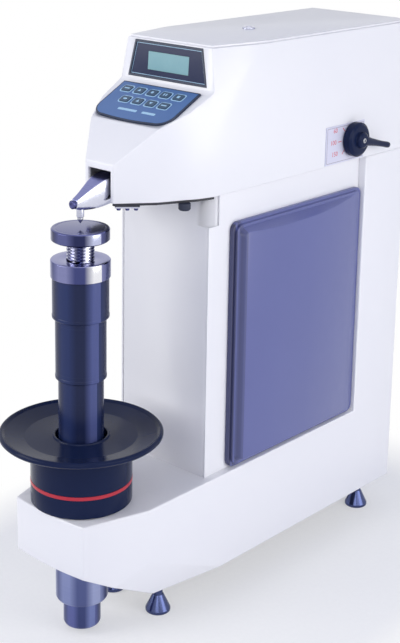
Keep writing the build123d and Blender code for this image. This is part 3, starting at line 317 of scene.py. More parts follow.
@dataclass(frozen=True)
class MouldedPlastic:
    """Moulded plastic with a spark-eroded grain."""

    name: str
    tone: Colour
    shade: Colour
    roughness: float = 0.42
    grain: float = 1400.0
    grain_depth: float = 0.00005
    coat: float = 0.0

    def build(self) -> bpy.types.Material:
        """Build the material."""
        mix = Mixture(self.name)
        coords = mix.place()
        cloud = mix.noise(coords, 5.0, 5.0, 0.6)
        grain = mix.cells(coords, self.grain)
        tone = self.graded(mix, coords, mix.blend(cloud, self.shade, self.tone))
        rough = mix.span(mix.noise(coords, 60.0), self.roughness - 0.06, self.roughness + 0.06)
        return mix.finish(Base_Color=tone, Roughness=rough, Coat_Weight=self.coat, Coat_Roughness=0.1,
                          Normal=mix.relief(grain, self.grain_depth, 0.4))

    def graded(self, mix: Mixture, coords: Wire, tone: Wire) -> Wire:
        """Tone as it is; a kind of plastic may darken it by place."""
        return tone


@dataclass(frozen=True)
class ShadedStepPlastic(MouldedPlastic):
    """Moulded plastic whose front edge has small steps, with painted shade in them."""

    front: float = 0.196
    reach: float = 0.016
    dust_and_painted_light: Colour = (0.018, 0.020, 0.06)
    painted_shade_by_step: tuple[float, ...] = (0.7, 1.0, 0.0, 0.6, 0.4)

    def graded(self, mix: Mixture, coords: Wire, tone: Wire) -> Wire:
        """Tone with painted shade in the steps, over a short reach from the front edge."""
        _, y, _ = mix.split(coords)
        along = (y - self.front) / self.reach
        steps = [(k / len(self.painted_shade_by_step), (dust_and_painted_light,) * 3) for k, dust_and_painted_light in enumerate(self.painted_shade_by_step)]
        # Painted shade: the dark tone in the steps stands in for the shade of the front edge's grooves.
        edge = mix.blend(mix.ramp(along, steps), tone, self.dust_and_painted_light)
        return mix.blend(along.above(1.0), edge, tone)


@dataclass(frozen=True)
class TurnedMetal:
    """Metal with fine turning marks round one axis."""

    name: str
    tone: Colour
    shade: Colour
    roughness: float = 0.25
    lines: float = 900.0
    depth: float = 0.00004
    centre: Point3 = (0.0, 0.0, 0.0)
    lay: Lay = Lay.UPRIGHT
    metallic: float = 1.0

    def build(self) -> bpy.types.Material:
        """Build the material."""
        mix = Mixture(self.name)
        coords = mix.place(self.centre, turn=self.lay.value)
        marks = mix.noise(mix.rings(coords), self.lines, 4.0, 0.65)
        stain = mix.noise(mix.place(), 14.0, 4.0)
        tone = mix.blend(marks * 0.6 + stain * 0.4, self.shade, self.tone)
        rough = mix.span(marks, self.roughness - 0.08, self.roughness + 0.1)
        return mix.finish(Base_Color=tone, Roughness=rough, Metallic=self.metallic,
                          Normal=mix.relief(marks, self.depth, 0.5))


@dataclass(frozen=True)
class PaintedReflectionMetal:
    """Polished round stock, whose tone runs in soft upright strips of painted reflection about the screw's
    axis.

    The strips are even tenths of a half turn, in one order of three tones that all such pieces share;
    the dark strips are painted reflection and the bright one is a painted highlight.
    """

    name: str
    tone: Colour
    dark: Colour
    bright: Colour
    roughness: float = 0.2
    crown_from: float = 10.0
    metallic: float = 1.0
    shine: float = 0.5

    def painted_reflection_strips(self) -> list[tuple[float, Colour]]:
        """Ramp stops of one half turn of painted reflection and painted highlight."""
        order = (self.tone, self.dark, self.dark, self.tone, self.dark, self.tone, self.tone, self.dark,
                 self.dark, self.bright)
        return [(k / len(order), colour) for k, colour in enumerate(order)]

    def build(self) -> bpy.types.Material:
        """Build the material."""
        mix = Mixture(self.name)
        coords = mix.place()
        x, y, z = mix.split(coords)
        turn = (y.maths("ARCTAN2", y, x) / math.pi + 1.0).fraction()
        marks = mix.noise(mix.rings(coords), 900.0, 4.0, 0.65)
        # Painted reflection: dark upright strips and one bright strip stand in for the studio's reflection in
        # polished metal.
        side = mix.ramp(turn, self.painted_reflection_strips())
        face = mix.blend(z.above(self.crown_from), side, self.tone)
        worn = mix.blend(marks * 0.18, face, self.dark)
        rough = mix.span(marks, self.roughness - 0.06, self.roughness + 0.08)
        return mix.finish(Base_Color=worn, Roughness=rough, Metallic=self.metallic,
                          Specular_IOR_Level=self.shine, Normal=mix.relief(marks, 0.00003, 0.3))


@dataclass(frozen=True)
class GlossLacquer:
    """Deep glossy lacquer or bakelite with faint grit and soft lighter clouds of painted sheen."""

    name: str
    tone: Colour
    sheen_and_dust_tone: Colour
    roughness: float = 0.12
    dust_and_painted_light: float = 0.10
    shine: float = 0.30

    def build(self) -> bpy.types.Material:
        """Build the material."""
        mix = Mixture(self.name)
        coords = mix.place()
        film = mix.noise(coords, 26.0, 6.0, 0.65)
        specks = mix.cells(coords, 260.0)
        grit = (1.0 - specks) ** 9.0
        # Painted sheen and grit: the film clouds lighten the tone as painted sheen, and the grit specks add
        # real dust.
        tone = mix.blend((film * 0.7 + grit * 0.5) * self.dust_and_painted_light, self.tone, self.sheen_and_dust_tone)
        rough = mix.span(film, self.roughness, self.roughness + 0.10)
        return mix.finish(Base_Color=tone, Roughness=rough, Specular_IOR_Level=self.shine,
                          Coat_Weight=0.0, Normal=mix.relief(mix.noise(coords, 90.0), 0.00003, 0.3))


@dataclass(frozen=True)
class SandCastIron:
    """Sand-cast iron, oiled and dark."""

    name: str = "grey_iron"
    tone: Colour = (0.20, 0.205, 0.22)
    shade: Colour = (0.10, 0.10, 0.11)

    def build(self) -> bpy.types.Material:
        """Build the material."""
        mix = Mixture(self.name)
        coords = mix.place()
        sand = mix.noise(coords, 420.0, 6.0, 0.7)
        stain = mix.noise(coords, 18.0, 5.0)
        tone = mix.blend(stain, self.shade, self.tone)
        return mix.finish(Base_Color=tone, Roughness=mix.span(sand, 0.45, 0.7), Metallic=0.75,
                          Normal=mix.relief(sand, 0.0003, 0.6))


@dataclass(frozen=True)
class Screen:
    """Liquid-crystal screen with faint rows of unlit cells and a faint painted glow."""

    name: str = "screen_glass"
    tone: Colour = (0.16, 0.345, 0.385)
    shade: Colour = (0.12, 0.285, 0.33)
    pitch: float = 0.0012

    def build(self) -> bpy.types.Material:
        """Build the material."""
        mix = Mixture(self.name)
        coords = mix.place()
        x, _, z = mix.split(coords)
        columns = (x / self.pitch).fraction()
        rows = (z / self.pitch).fraction()
        grid = columns.above(0.16) * rows.above(0.16)
        cloud = mix.noise(coords, 60.0, 2.0)
        tone = mix.blend(grid * 0.35 + cloud * 0.5, self.shade, self.tone)
        # The emission in the screen's own tone is a painted glow.
        return mix.finish(Base_Color=tone, Roughness=mix.span(cloud, 0.12, 0.2), Emission_Color=tone,
                          Emission_Strength=0.12)


@dataclass(frozen=True)
class Membrane:
    """Printed polyester membrane with a fine matt emboss."""

    name: str
    tone: Colour
    shade: Colour
    roughness: float = 0.4

    def build(self) -> bpy.types.Material:
        """Build the material."""
        mix = Mixture(self.name)
        coords = mix.place()
        emboss = mix.cells(coords, 2600.0)
        cloud = mix.noise(coords, 40.0, 3.0)
        return mix.finish(Base_Color=mix.blend(cloud, self.shade, self.tone),
                          Roughness=mix.span(emboss, self.roughness - 0.08, self.roughness + 0.08),
                          Normal=mix.relief(emboss, 0.00003, 0.4))


@dataclass(frozen=True)
class CircuitLaminate:
    """Green laminate with copper tracks under its mask."""

    name: str = "circuit_laminate"
    mask_tone: Colour = (0.02, 0.13, 0.06)
    track_tone: Colour = (0.05, 0.26, 0.10)
    track_pitch: float = 0.0035

    def build(self) -> bpy.types.Material:
        """Build the material."""
        mix = Mixture(self.name)
        coords = mix.place()
        wander = mix.noise(coords, 70.0, 0.0)
        x, _, _ = mix.split(coords)
        lane = x / self.track_pitch + wander * 3.0
        tracks = lane.fraction().band(0.5, 0.18) * mix.noise(coords, 120.0, 0.0).above(0.46)
        return mix.finish(Base_Color=mix.blend(tracks, self.mask_tone, self.track_tone),
                          Roughness=0.35 + wander * 0.1,
                          Normal=mix.relief(tracks, 0.00005, 0.5))


@dataclass(frozen=True)
class PrintedPlate:
    """Anodised index plate, brushed along its length."""

    name: str = "index_plate_face"
    tone: Colour = (0.69, 0.69, 0.82)
    shade: Colour = (0.61, 0.61, 0.75)

    def build(self) -> bpy.types.Material:
        """Build the material."""
        mix = Mixture(self.name)
        grain = mix.noise(mix.place(scale=(1.0, 0.03, 1.0)), 1800.0, 3.0)
        return mix.finish(Base_Color=mix.blend(grain, self.shade, self.tone), Metallic=0.15,
                          Roughness=mix.span(grain, 0.32, 0.48), Normal=mix.relief(grain, 0.00002, 0.3))


@dataclass(frozen=True)
class Ink:
    """Screen-printed ink with a slightly worn edge."""

    name: str
    tone: Colour
    worn: Colour

    def build(self) -> bpy.types.Material:
        """Build the material."""
        mix = Mixture(self.name)
        coords = mix.place()
        wear = mix.noise(coords, 700.0, 4.0, 0.7)
        return mix.finish(Base_Color=mix.blend(wear ** 3.0, self.tone, self.worn),
                          Roughness=0.35 + wear * 0.2)


class Palette:
    """All finishes, each built once, and the record's slot that each belongs to."""

    def __init__(self) -> None:
        """List the finishes by the record's slots, and build none yet."""
        self.by_slot: dict[str, object] = {
            "white_paint": Enamel(),
            "slate_panel": ShadedStepPlastic("slate_plastic", (0.112, 0.130, 0.335), (0.092, 0.107, 0.292),
                                          0.34, coat=0.15),
            "black_sheet": MouldedPlastic("black_sheet_enamel", (0.022, 0.024, 0.040), (0.012, 0.012, 0.02),
                                          0.5),
            "black_plastic": MouldedPlastic("black_plastic", (0.020, 0.020, 0.024), (0.012, 0.012, 0.014),
                                            0.45),
            "red_plastic": GlossLacquer("red_lacquer", (0.46, 0.018, 0.040), (0.6, 0.2, 0.22), 0.25, 0.12),
            "display_dark": GlossLacquer("display_navy", (0.007, 0.015, 0.062), (0.06, 0.08, 0.16), 0.10,
                                         0.15, 0.22),
            "lcd_green": Screen(),
            "board_green": CircuitLaminate(),
            "keypad_blue": Membrane("keypad_membrane", (0.070, 0.165, 0.40), (0.058, 0.142, 0.36)),
            "key_cap": Membrane("key_membrane", (0.035, 0.085, 0.16), (0.025, 0.065, 0.13)),
            "index_plate": PrintedPlate(),
            "black_gloss": GlossLacquer("black_bakelite", (0.006, 0.012, 0.046), (0.05, 0.08, 0.18), 0.15,
                                        0.10, 0.10),
            # Sleeves, anvil and guard carry painted reflection: dark upright strips and one painted highlight
            # strip.
            "black_sleeve": PaintedReflectionMetal("sleeve_enamel", (0.020, 0.033, 0.11), (0.010, 0.016, 0.055),
                                         (0.08, 0.10, 0.26), 0.24, metallic=0.0, shine=0.2),
            "steel_bright": TurnedMetal("bright_steel", (0.62, 0.63, 0.74), (0.40, 0.42, 0.55), 0.20),
            "steel_satin": TurnedMetal("satin_steel", (0.50, 0.51, 0.56), (0.36, 0.37, 0.42), 0.34),
            "anvil_steel": PaintedReflectionMetal("anvil_steel", (0.12, 0.13, 0.30), (0.03, 0.035, 0.10),
                                        (0.55, 0.58, 0.80), 0.16, 0.5633),
            "guard_steel": PaintedReflectionMetal("guard_steel", (0.27, 0.31, 0.54), (0.10, 0.12, 0.27),
                                        (0.36, 0.40, 0.62), 0.30),
            "foot_steel": TurnedMetal("foot_nickel", (0.09, 0.11, 0.24), (0.045, 0.06, 0.15), 0.22),
            "bronze": TurnedMetal("bronze", (0.52, 0.36, 0.16), (0.38, 0.25, 0.10), 0.3),
            "iron_casting": SandCastIron(),
            "motor_case": MouldedPlastic("die_cast_case", (0.42, 0.43, 0.46), (0.34, 0.35, 0.38), 0.4, 300.0),
        }
        self.extra: dict[str, object] = {
            "light_ink": Ink("light_ink", (0.42, 0.66, 0.86), (0.25, 0.42, 0.62)),
            "dark_ink": Ink("dark_ink", (0.012, 0.02, 0.05), (0.05, 0.08, 0.15)),
            "red_ink": Ink("red_ink", (0.62, 0.06, 0.10), (0.72, 0.35, 0.38)),
            "shaft_across": TurnedMetal("shaft_steel", (0.50, 0.51, 0.56), (0.36, 0.37, 0.42), 0.30, 900.0,
                                        centre=(0.0, 0.449, 0.626), lay=Lay.ACROSS),
            "arm_steel": TurnedMetal("arm_steel", (0.72, 0.73, 0.84), (0.56, 0.58, 0.72), 0.18, 40.0,
                                     depth=0.000004, lay=Lay.ENDWAYS),
            # Darker copy of the arm's steel, painted shade on the arm's back.
            "painted_shade_steel": TurnedMetal("ground_flat_steel", (0.24, 0.255, 0.50), (0.19, 0.20, 0.43), 0.28,
                                      300.0, depth=0.00001, lay=Lay.ENDWAYS),
            "clamp_steel": TurnedMetal("clamp_steel", (0.11, 0.115, 0.29), (0.06, 0.065, 0.18), 0.22),
            # Collar, thread and cap carry painted reflection: dark upright strips and one painted highlight
            # strip.
            "collar_steel": PaintedReflectionMetal("collar_steel", (0.24, 0.25, 0.46), (0.06, 0.07, 0.20),
                                         (0.90, 0.90, 0.94), 0.12, 0.5229),
            "thread_steel": PaintedReflectionMetal("thread_steel", (0.50, 0.51, 0.64), (0.07, 0.08, 0.20),
                                         (0.86, 0.87, 0.94), 0.16),
            "cap_steel": PaintedReflectionMetal("cap_steel", (0.14, 0.16, 0.38), (0.06, 0.075, 0.19),
                                      (0.20, 0.24, 0.48), 0.30),
            "navy_rubber": MouldedPlastic("navy_rubber", (0.012, 0.020, 0.055), (0.008, 0.012, 0.03), 0.6),
            "grey_ink": Ink("grey_ink", (0.33, 0.31, 0.40), (0.45, 0.43, 0.52)),
        }
        self.built: dict[str, bpy.types.Material] = {}

    def material(self, key: str) -> bpy.types.Material:
        """Material of a slot or an extra finish, built at first use."""
        if key not in self.built:
            finish = self.by_slot.get(key) or self.extra[key]
            self.built[key] = finish.build()
        return self.built[key]


# ---------------------------------------------------------------- shapes
def rounded(points: Sequence[Point2], radius: float, steps: int = 4) -> list[Point2]:
    """Closed outline with small arcs in place of its corners.

    Args:
        points: Corners in order.
        radius: Corner radius, cut down where the sides are short.
        steps: Segments in each arc.

    Returns:
        The new outline.
    """
    out: list[Point2] = []
    count = len(points)
    for i in range(count):
        here = Vector(points[i])
        back, ahead = Vector(points[i - 1]) - here, Vector(points[(i + 1) % count]) - here
        corner = back.angle(ahead, math.pi)
        on_axis = abs(here.x) < 1e-6
        if on_axis or corner > math.radians(176) or corner < math.radians(4):
            out.append((here.x, here.y))
            continue
        run = min(radius / math.tan(corner / 2), back.length * 0.45, ahead.length * 0.45)
        start, end = here + back.normalized() * run, here + ahead.normalized() * run
        for k in range(steps + 1):
            t = k / steps
            bend = start.lerp(here, t).lerp(here.lerp(end, t), t)
            out.append((bend.x, bend.y))
    return out


def spline(rows: Sequence[Sequence[float]], steps: int) -> list[tuple[float, ...]]:
    """Rows of numbers with smooth rows between them.

    Args:
        rows: Rows that the result runs through.
        steps: Rows made for each gap.

    Returns:
        The finer rows.
    """
    out: list[tuple[float, ...]] = []
    for i in range(len(rows) - 1):
        before, start, end, after = rows[max(i - 1, 0)], rows[i], rows[i + 1], rows[min(i + 2, len(rows) - 1)]
        for k in range(steps):
            t = k / steps
            out.append(tuple(0.5 * (2 * b + (c - a) * t + (2 * a - 5 * b + 4 * c - d) * t * t
                                    + (3 * b - a - 3 * c + d) * t ** 3)
                             for a, b, c, d in zip(before, start, end, after)))
    out.append(tuple(rows[-1]))
    return out


def lathe(profile: Sequence[Point2], segments: int = 144) -> Mesh:
    """Solid of revolution of a closed (radius, height) profile about the local Z axis."""
    mesh = bmesh.new()
    rings: list[list[bmesh.types.BMVert]] = []
    turns = [TAU * k / segments for k in range(segments)]
    for radius, height in profile:
        used = turns[:1] if radius < 1e-6 else turns
        rings.append([mesh.verts.new((radius * math.cos(a), radius * math.sin(a), height)) for a in used])
    for i, ring in enumerate(rings):
        following = rings[(i + 1) % len(rings)]
        if len(ring) == 1 and len(following) == 1:
            continue
        for k in range(segments):
            corners = [ring[k % len(ring)], ring[(k + 1) % len(ring)],
                       following[(k + 1) % len(following)], following[k % len(following)]]
            unique = list(dict.fromkeys(corners))
            mesh.faces.new(unique)
    return mesh


def extruded(outline: Sequence[Point2], low: float, high: float) -> Mesh:
    """Prism over a closed outline in the local XY plane."""
    mesh = bmesh.new()
    bottom = [mesh.verts.new((x, y, low)) for x, y in outline]
    top = [mesh.verts.new((x, y, high)) for x, y in outline]
    mesh.faces.new(reversed(bottom))
    mesh.faces.new(top)
    for k in range(len(outline)):
        j = (k + 1) % len(outline)
        mesh.faces.new((bottom[k], bottom[j], top[j], top[k]))
    return mesh


def rectangle(wide: float, tall: float, x: float = 0.0, y: float = 0.0) -> list[Point2]:
    """Corners of a rectangle about a centre."""
    return [(x - wide / 2, y - tall / 2), (x + wide / 2, y - tall / 2), (x + wide / 2, y + tall / 2),
            (x - wide / 2, y + tall / 2)]


def trapezoid(foot: float, head: float, low: float, high: float) -> list[Point2]:
    """Corners of an upright trapezoid, given by its half widths at two heights."""
    return [(foot, low), (head, high), (-head, high), (-foot, low)]


def ellipse(wide: float, tall: float, x: float = 0.0, y: float = 0.0, count: int = 24) -> list[Point2]:
    """Points of an ellipse about a centre."""
    return [(x + wide / 2 * math.cos(TAU * k / count), y + tall / 2 * math.sin(TAU * k / count))
            for k in range(count)]


def joined(meshes: Iterable[Mesh]) -> Mesh:
    """All the given meshes as one."""
    whole = bmesh.new()
    for mesh in meshes:
        data = bpy.data.meshes.new("joint")
        mesh.to_mesh(data)
        mesh.free()
        whole.from_mesh(data)
        bpy.data.meshes.remove(data)
    return whole


def loft(rings: Iterable[Iterable[Sequence[float]]]) -> Mesh:
    """Closed solid through rings that have the same number of points."""
    mesh = bmesh.new()
    verts = [[mesh.verts.new(point) for point in ring] for ring in rings]
    count = len(verts[0])
    for ring, following in zip(verts, verts[1:]):
        for k in range(count):
            j = (k + 1) % count
            mesh.faces.new((ring[k], ring[j], following[j], following[k]))
    mesh.faces.new(verts[0])
    mesh.faces.new(reversed(verts[-1]))
    return mesh


def placed(mesh: Mesh, matrix: Matrix) -> Mesh:
    """The mesh, moved by a matrix."""
    bmesh.ops.transform(mesh, matrix=matrix, verts=mesh.verts)
    return mesh


def thickened(curve: bpy.types.Curve, thickness: float) -> Mesh:
    """Solid over a flat closed curve, its underside in the local XY plane; the curve is used up."""
    curve.extrude = thickness / 2
    holder = bpy.data.objects.new(curve.name, curve)
    mesh = bmesh.new()
    data = bpy.data.meshes.new_from_object(holder)
    mesh.from_mesh(data)
    bpy.data.objects.remove(holder)
    bpy.data.curves.remove(curve)
    bpy.data.meshes.remove(data)
    return placed(mesh, Matrix.Translation((0, 0, thickness / 2)))


def perforated(outlines: Sequence[Sequence[Point2]], thickness: float) -> Mesh:
    """Sheet over the first outline with the others as holes."""
    curve = bpy.data.curves.new("sheet_outline", "CURVE")
    curve.dimensions, curve.fill_mode = "2D", "BOTH"
    for outline in outlines:
        line = curve.splines.new("POLY")
        line.points.add(len(outline) - 1)
        for point, (x, y) in zip(line.points, outline):
            point.co = (x, y, 0.0, 1.0)
        line.use_cyclic_u = True
    return thickened(curve, thickness)


def lettering(text: str, size: float, depth: float) -> Mesh:
    """Raised figures, centred in the local XY plane."""
    curve = bpy.data.curves.new("figures", "FONT")
    curve.body, curve.size, curve.resolution_u = text, size, 3
    curve.align_x, curve.align_y = "CENTER", "CENTER"
    return thickened(curve, depth)


def twin(node: str) -> Mesh:
    """Welded copy of a CAD node's mesh in millimetres, with its flat faces joined."""
    mesh = bmesh.new()
    mesh.from_mesh(frame["nodes"][node].data)
    bmesh.ops.scale(mesh, vec=(1 / MM, 1 / MM, 1 / MM), verts=mesh.verts)
    bmesh.ops.remove_doubles(mesh, verts=mesh.verts, dist=WELD_GAP)
    bmesh.ops.dissolve_limit(mesh, angle_limit=FLAT_ANGLE, verts=mesh.verts, edges=mesh.edges)
    return mesh


def softened(mesh: Mesh, width: float, longer: float = 8.0, steps: int = 3,
             pick: Callable[[bmesh.types.BMEdge], bool] | None = None) -> Mesh:
    """Rounds a mesh's long sharp convex edges.

    Args:
        mesh: The mesh, changed in place.
        width: Width of the rounding.
        longer: Shortest edge that is rounded.
        steps: Segments of the rounding.
        pick: Further test of an edge.

    Returns:
        The same mesh.
    """
    edges = [e for e in mesh.edges
             if e.is_manifold and e.is_convex and e.calc_length() > longer
             and e.calc_face_angle(0.0) > SHARP_ANGLE and (pick is None or pick(e))]
    if edges:
        bmesh.ops.bevel(mesh, geom=edges, offset=width, offset_type="OFFSET", segments=steps, profile=0.5,
                        affect="EDGES", clamp_overlap=False)
    return mesh


def linked(name: str, data: bpy.types.ID) -> bpy.types.Object:
    """New object of the scene that shows a mesh, a lamp or a camera."""
    thing = bpy.data.objects.new(name, data)
    bpy.context.scene.collection.objects.link(thing)
    return thing


class Workshop:
    """Turns meshes into finished pieces on the frame's bodies."""

    def __init__(self, palette: Palette) -> None:
        """Keep the palette."""
        self.palette = palette

    def settle(self, name: str, mesh: Mesh, body: str, slot: str, finish: str | None = None,
               stands_for: Sequence[str] = (), smooth: float = 32.0,
               turn_out: bool = True) -> bpy.types.Object:
        """Make one finished piece.

        Args:
            name: Piece name.
            mesh: Mesh in millimetres, in the row frame.
            body: Body that it rides on.
            slot: Record slot of its finish.
            finish: Key of another finish of the palette.
            stands_for: CAD nodes that it replaces.
            smooth: Angle in degrees under which edges are shaded smooth.
            turn_out: Whether normals are worked out again.

        Returns:
            The piece's object.
        """
        if turn_out:
            bmesh.ops.remove_doubles(mesh, verts=mesh.verts, dist=0.0005)
            bmesh.ops.recalc_face_normals(mesh, faces=mesh.faces)
        bmesh.ops.scale(mesh, vec=(MM, MM, MM), verts=mesh.verts)
        data = bpy.data.meshes.new(name)
        mesh.to_mesh(data)
        mesh.free()
        return self._dress(name, data, body, slot, finish, stands_for, smooth)

    def _dress(self, name: str, data: bpy.types.Mesh, body: str, slot: str, finish: str | None,
               stands_for: Sequence[str], smooth: float) -> bpy.types.Object:
        """Shade, colour and mount a mesh that is already in metres."""
        data.polygons.foreach_set("use_smooth", [True] * len(data.polygons))
        data.set_sharp_from_angle(angle=math.radians(smooth))
        data.materials.clear()
        data.materials.append(self.palette.material(finish or slot))
        piece = linked(name, data)
        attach(piece, body)
        if stands_for:
            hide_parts(*stands_for)
        LOG.info("%s rides on %s (%d faces)", name, body, len(data.polygons))
        return piece

    def repeat(self, name: str, pattern: Mesh, places: Sequence[Sequence[float]], body: str, slot: str,
               finish: str | None = None, turn: Sequence[float] = (0, 0, 0), size: float = 1.0,
               spin: float = 0.0, smooth: float = 32.0) -> bpy.types.Object:
        """Set one pattern on many places with Geometry Nodes.

        Args:
            name: Piece name.
            pattern: Mesh of one item in millimetres.
            places: Places in millimetres.
            body: Body that the items ride on.
            slot: Record slot of their finish.
            finish: Key of another finish of the palette.
            turn: Turn of every item in radians.
            size: Scale of every item.
            spin: Further turn about the item's own Z axis from one item to the next, in radians.
            smooth: Angle in degrees under which edges are shaded smooth.

        Returns:
            The piece's object.
        """
        bmesh.ops.recalc_face_normals(pattern, faces=pattern.faces)
        item_data = bpy.data.meshes.new(name + "_item")
        bmesh.ops.scale(pattern, vec=(MM, MM, MM), verts=pattern.verts)
        pattern.to_mesh(item_data)
        pattern.free()
        item = linked(name + "_item", item_data)
        points = bpy.data.meshes.new(name + "_places")
        points.from_pydata([tuple(v * MM for v in place) for place in places], [], [])
        data = self._grown(name, points, repeat_tree(), {
            "Item": item, "Turn": tuple(turn), "Size": size, "Spin": spin,
            "Material": self.palette.material(finish or slot)})
        bpy.data.objects.remove(item)
        return self._dress(name, data, body, slot, finish, (), smooth)

    def threaded(self, name: str, body: str, slot: str, radius: float, depth: float, lead: float, low: float,
                 high: float, bore: float = 0.0, finish: str | None = None,
                 stands_for: Sequence[str] = ()) -> bpy.types.Object:
        """Upright threaded rod on the screw's axis, sizes in millimetres.

        Args:
            name: Piece name.
            body: Body that it rides on.
            slot: Record slot of its finish.
            radius: Crest radius.
            depth: Depth of the thread.
            lead: Rise of one turn.
            low: Lower end.
            high: Upper end.
            bore: Radius of the hole down its axis.
            finish: Key of another finish of the palette.
            stands_for: CAD nodes that it replaces.

        Returns:
            The piece's object.
        """
        data = self._grown(name, bpy.data.meshes.new(name + "_seed"), thread_tree(), {
            "Radius": radius * MM, "Depth": depth * MM, "Lead": lead * MM, "Low": low * MM, "High": high * MM,
            "Bore": bore * MM, "Material": self.palette.material(finish or slot)})
        return self._dress(name, data, body, slot, finish, stands_for, 40.0)

    def _grown(self, name: str, seed: bpy.types.Mesh, tree: bpy.types.NodeTree,
               inputs: dict) -> bpy.types.Mesh:
        """Plain mesh that a Geometry Nodes tree makes of a seed mesh."""
        carrier = linked(name + "_seed", seed)
        modifier = carrier.modifiers.new("grow", "NODES")
        modifier.node_group = tree
        for socket in tree.interface.items_tree:
            if socket.in_out == "INPUT" and socket.name in inputs:
                modifier[socket.identifier] = inputs[socket.name]
        bpy.context.view_layer.update()
        graph = bpy.context.evaluated_depsgraph_get()
        data = bpy.data.meshes.new_from_object(carrier.evaluated_get(graph))
        carrier.modifiers.remove(modifier)
        bpy.data.objects.remove(carrier)
        bpy.data.meshes.remove(seed)
        data.name = name
        return data


def opened(name: str, inputs: dict[str, str]) -> Bench:
    """New Geometry Nodes tree with named inputs and one geometry output.

    Args:
        name: Name of the tree.
        inputs: Socket kind of each input by name.

    Returns:
        The bench that builds in it.
    """
    tree = bpy.data.node_groups.new(name, "GeometryNodeTree")
    for label, kind in inputs.items():
        tree.interface.new_socket(label, in_out="INPUT", socket_type="NodeSocket" + kind)
    tree.interface.new_socket("Geometry", in_out="OUTPUT", socket_type="NodeSocketGeometry")
    return Bench(tree)


def closed(bench: Bench, shape: Wire, material: Wire) -> bpy.types.NodeTree:
    """End a tree with Realize Instances and Set Material."""
    whole = bench.wire(bench.node("GeometryNodeRealizeInstances", None, {0: shape}))
    dressed = bench.wire(bench.node("GeometryNodeSetMaterial", None,
                                    {"Geometry": whole, "Material": material}))
    bench.node("NodeGroupOutput", None, {0: dressed})
    return bench.tree


def repeat_tree() -> bpy.types.NodeTree:
    """Tree that sets an item on every point, turned and scaled alike."""
    found = bpy.data.node_groups.get("repeat_items")
    if found:
        return found
    bench = opened("repeat_items", {"Geometry": "Geometry", "Item": "Object", "Turn": "Vector",
                                    "Size": "Float", "Spin": "Float", "Material": "Material"})
    source = bench.node("NodeGroupInput")
    item = bench.node("GeometryNodeObjectInfo", None, {"Object": bench.wire(source, "Item")})
    copies = bench.node("GeometryNodeInstanceOnPoints", None, {
        "Points": bench.wire(source, "Geometry"), "Instance": bench.wire(item, "Geometry"),
        "Scale": bench.wire(source, "Size")})
    bench.tree.links.new(source.outputs["Turn"], copies.inputs["Rotation"])
    number = bench.wire(bench.node("GeometryNodeInputIndex"))
    turned = bench.node("GeometryNodeRotateInstances", None, {0: bench.wire(copies)})
    spin = bench.join(0.0, 0.0, number * bench.wire(source, "Spin"))
    bench.tree.links.new(spin.socket, turned.inputs["Rotation"])
    return closed(bench, bench.wire(turned), bench.wire(source, "Material"))


def thread_tree() -> bpy.types.NodeTree:
    """Tree that cuts a trapezoidal thread into an upright rod."""
    found = bpy.data.node_groups.get("cut_thread")
    if found:
        return found
    bench = opened("cut_thread", {"Geometry": "Geometry", "Radius": "Float", "Depth": "Float",
                                  "Lead": "Float",
                                  "Low": "Float", "High": "Float", "Bore": "Float", "Material": "Material"})
    source = bench.node("NodeGroupInput")
    radius, depth, lead, low, high = (bench.wire(source, key) for key in ("Radius", "Depth", "Lead", "Low",
                                                                          "High"))
    rows = (high - low) / lead * 8.0
    rod = bench.node("GeometryNodeMeshCylinder", {"fill_type": "NGON"}, {
        "Vertices": 48, "Side Segments": rows, "Radius": radius, "Depth": high - low})
    x, y, z = bench.split(bench.wire(bench.node("GeometryNodeInputPosition")))
    height = z + (high + low) * 0.5
    phase = (height / lead - y.maths("ARCTAN2", y, x) / TAU).fraction()
    wave = (phase - 0.5).maths("ABSOLUTE", phase - 0.5) * 4.0 - 0.5
    groove = wave.maths("MINIMUM", wave.maths("MAXIMUM", wave, 0.0), 1.0)
    share = 1.0 - groove * depth / radius
    cut = bench.node("GeometryNodeSetPosition", None, {
        "Geometry": bench.wire(rod, "Mesh"), "Position": bench.join(x * share, y * share, height)})
    drill = bench.node("GeometryNodeMeshCylinder", {"fill_type": "NGON"}, {
        "Vertices": 48, "Radius": bench.wire(source, "Bore"), "Depth": (high - low) * 1.2})
    lifted = bench.node("GeometryNodeSetPosition", None, {
        "Geometry": bench.wire(drill, "Mesh"), "Offset": bench.join(0.0, 0.0, (high + low) * 0.5)})
    bored = bench.node("GeometryNodeMeshBoolean", {"operation": "DIFFERENCE"}, {
        "Mesh 1": bench.wire(cut), "Mesh 2": bench.wire(lifted)})
    holed = bench.wire(source, "Bore").above(0.0001)
    chosen = bench.node("GeometryNodeSwitch", {"input_type": "GEOMETRY"}, {
        "Switch": holed, "False": bench.wire(cut), "True": bench.wire(bored)})
    return closed(bench, bench.wire(chosen), bench.wire(source, "Material"))


@dataclass(frozen=True)
class Slope:
    """Flat place on the head: local X across, local Y up the slope, local Z outwards."""

    foot: tuple[float, float, float]
    rise: tuple[float, float, float]

    def matrix(self, x: float = 0.0, y: float = 0.0, lift: float = 0.0) -> Matrix:
        """Matrix that takes a local form to a place on the slope.

        Args:
            x: Distance across.
            y: Distance up the slope.
            lift: Height over the slope.

        Returns:
            The matrix in millimetres.
        """
        across, up = Vector((1, 0, 0)), Vector(self.rise).normalized()
        out = across.cross(up)
        turn = Matrix((across, up, out)).transposed().to_4x4()
        return Matrix.Translation(self.foot) @ turn @ Matrix.Translation((x, y, lift))

    def spot(self, x: float, y: float, lift: float = 0.0) -> Vector:
        """Place in millimetres of a local point."""
        return self.matrix(x, y, lift).translation

    def tilt(self) -> tuple[float, float, float]:
        """Turn in radians of something that lies on the slope."""
        return (math.atan2(self.rise[2], self.rise[1]), 0.0, 0.0)


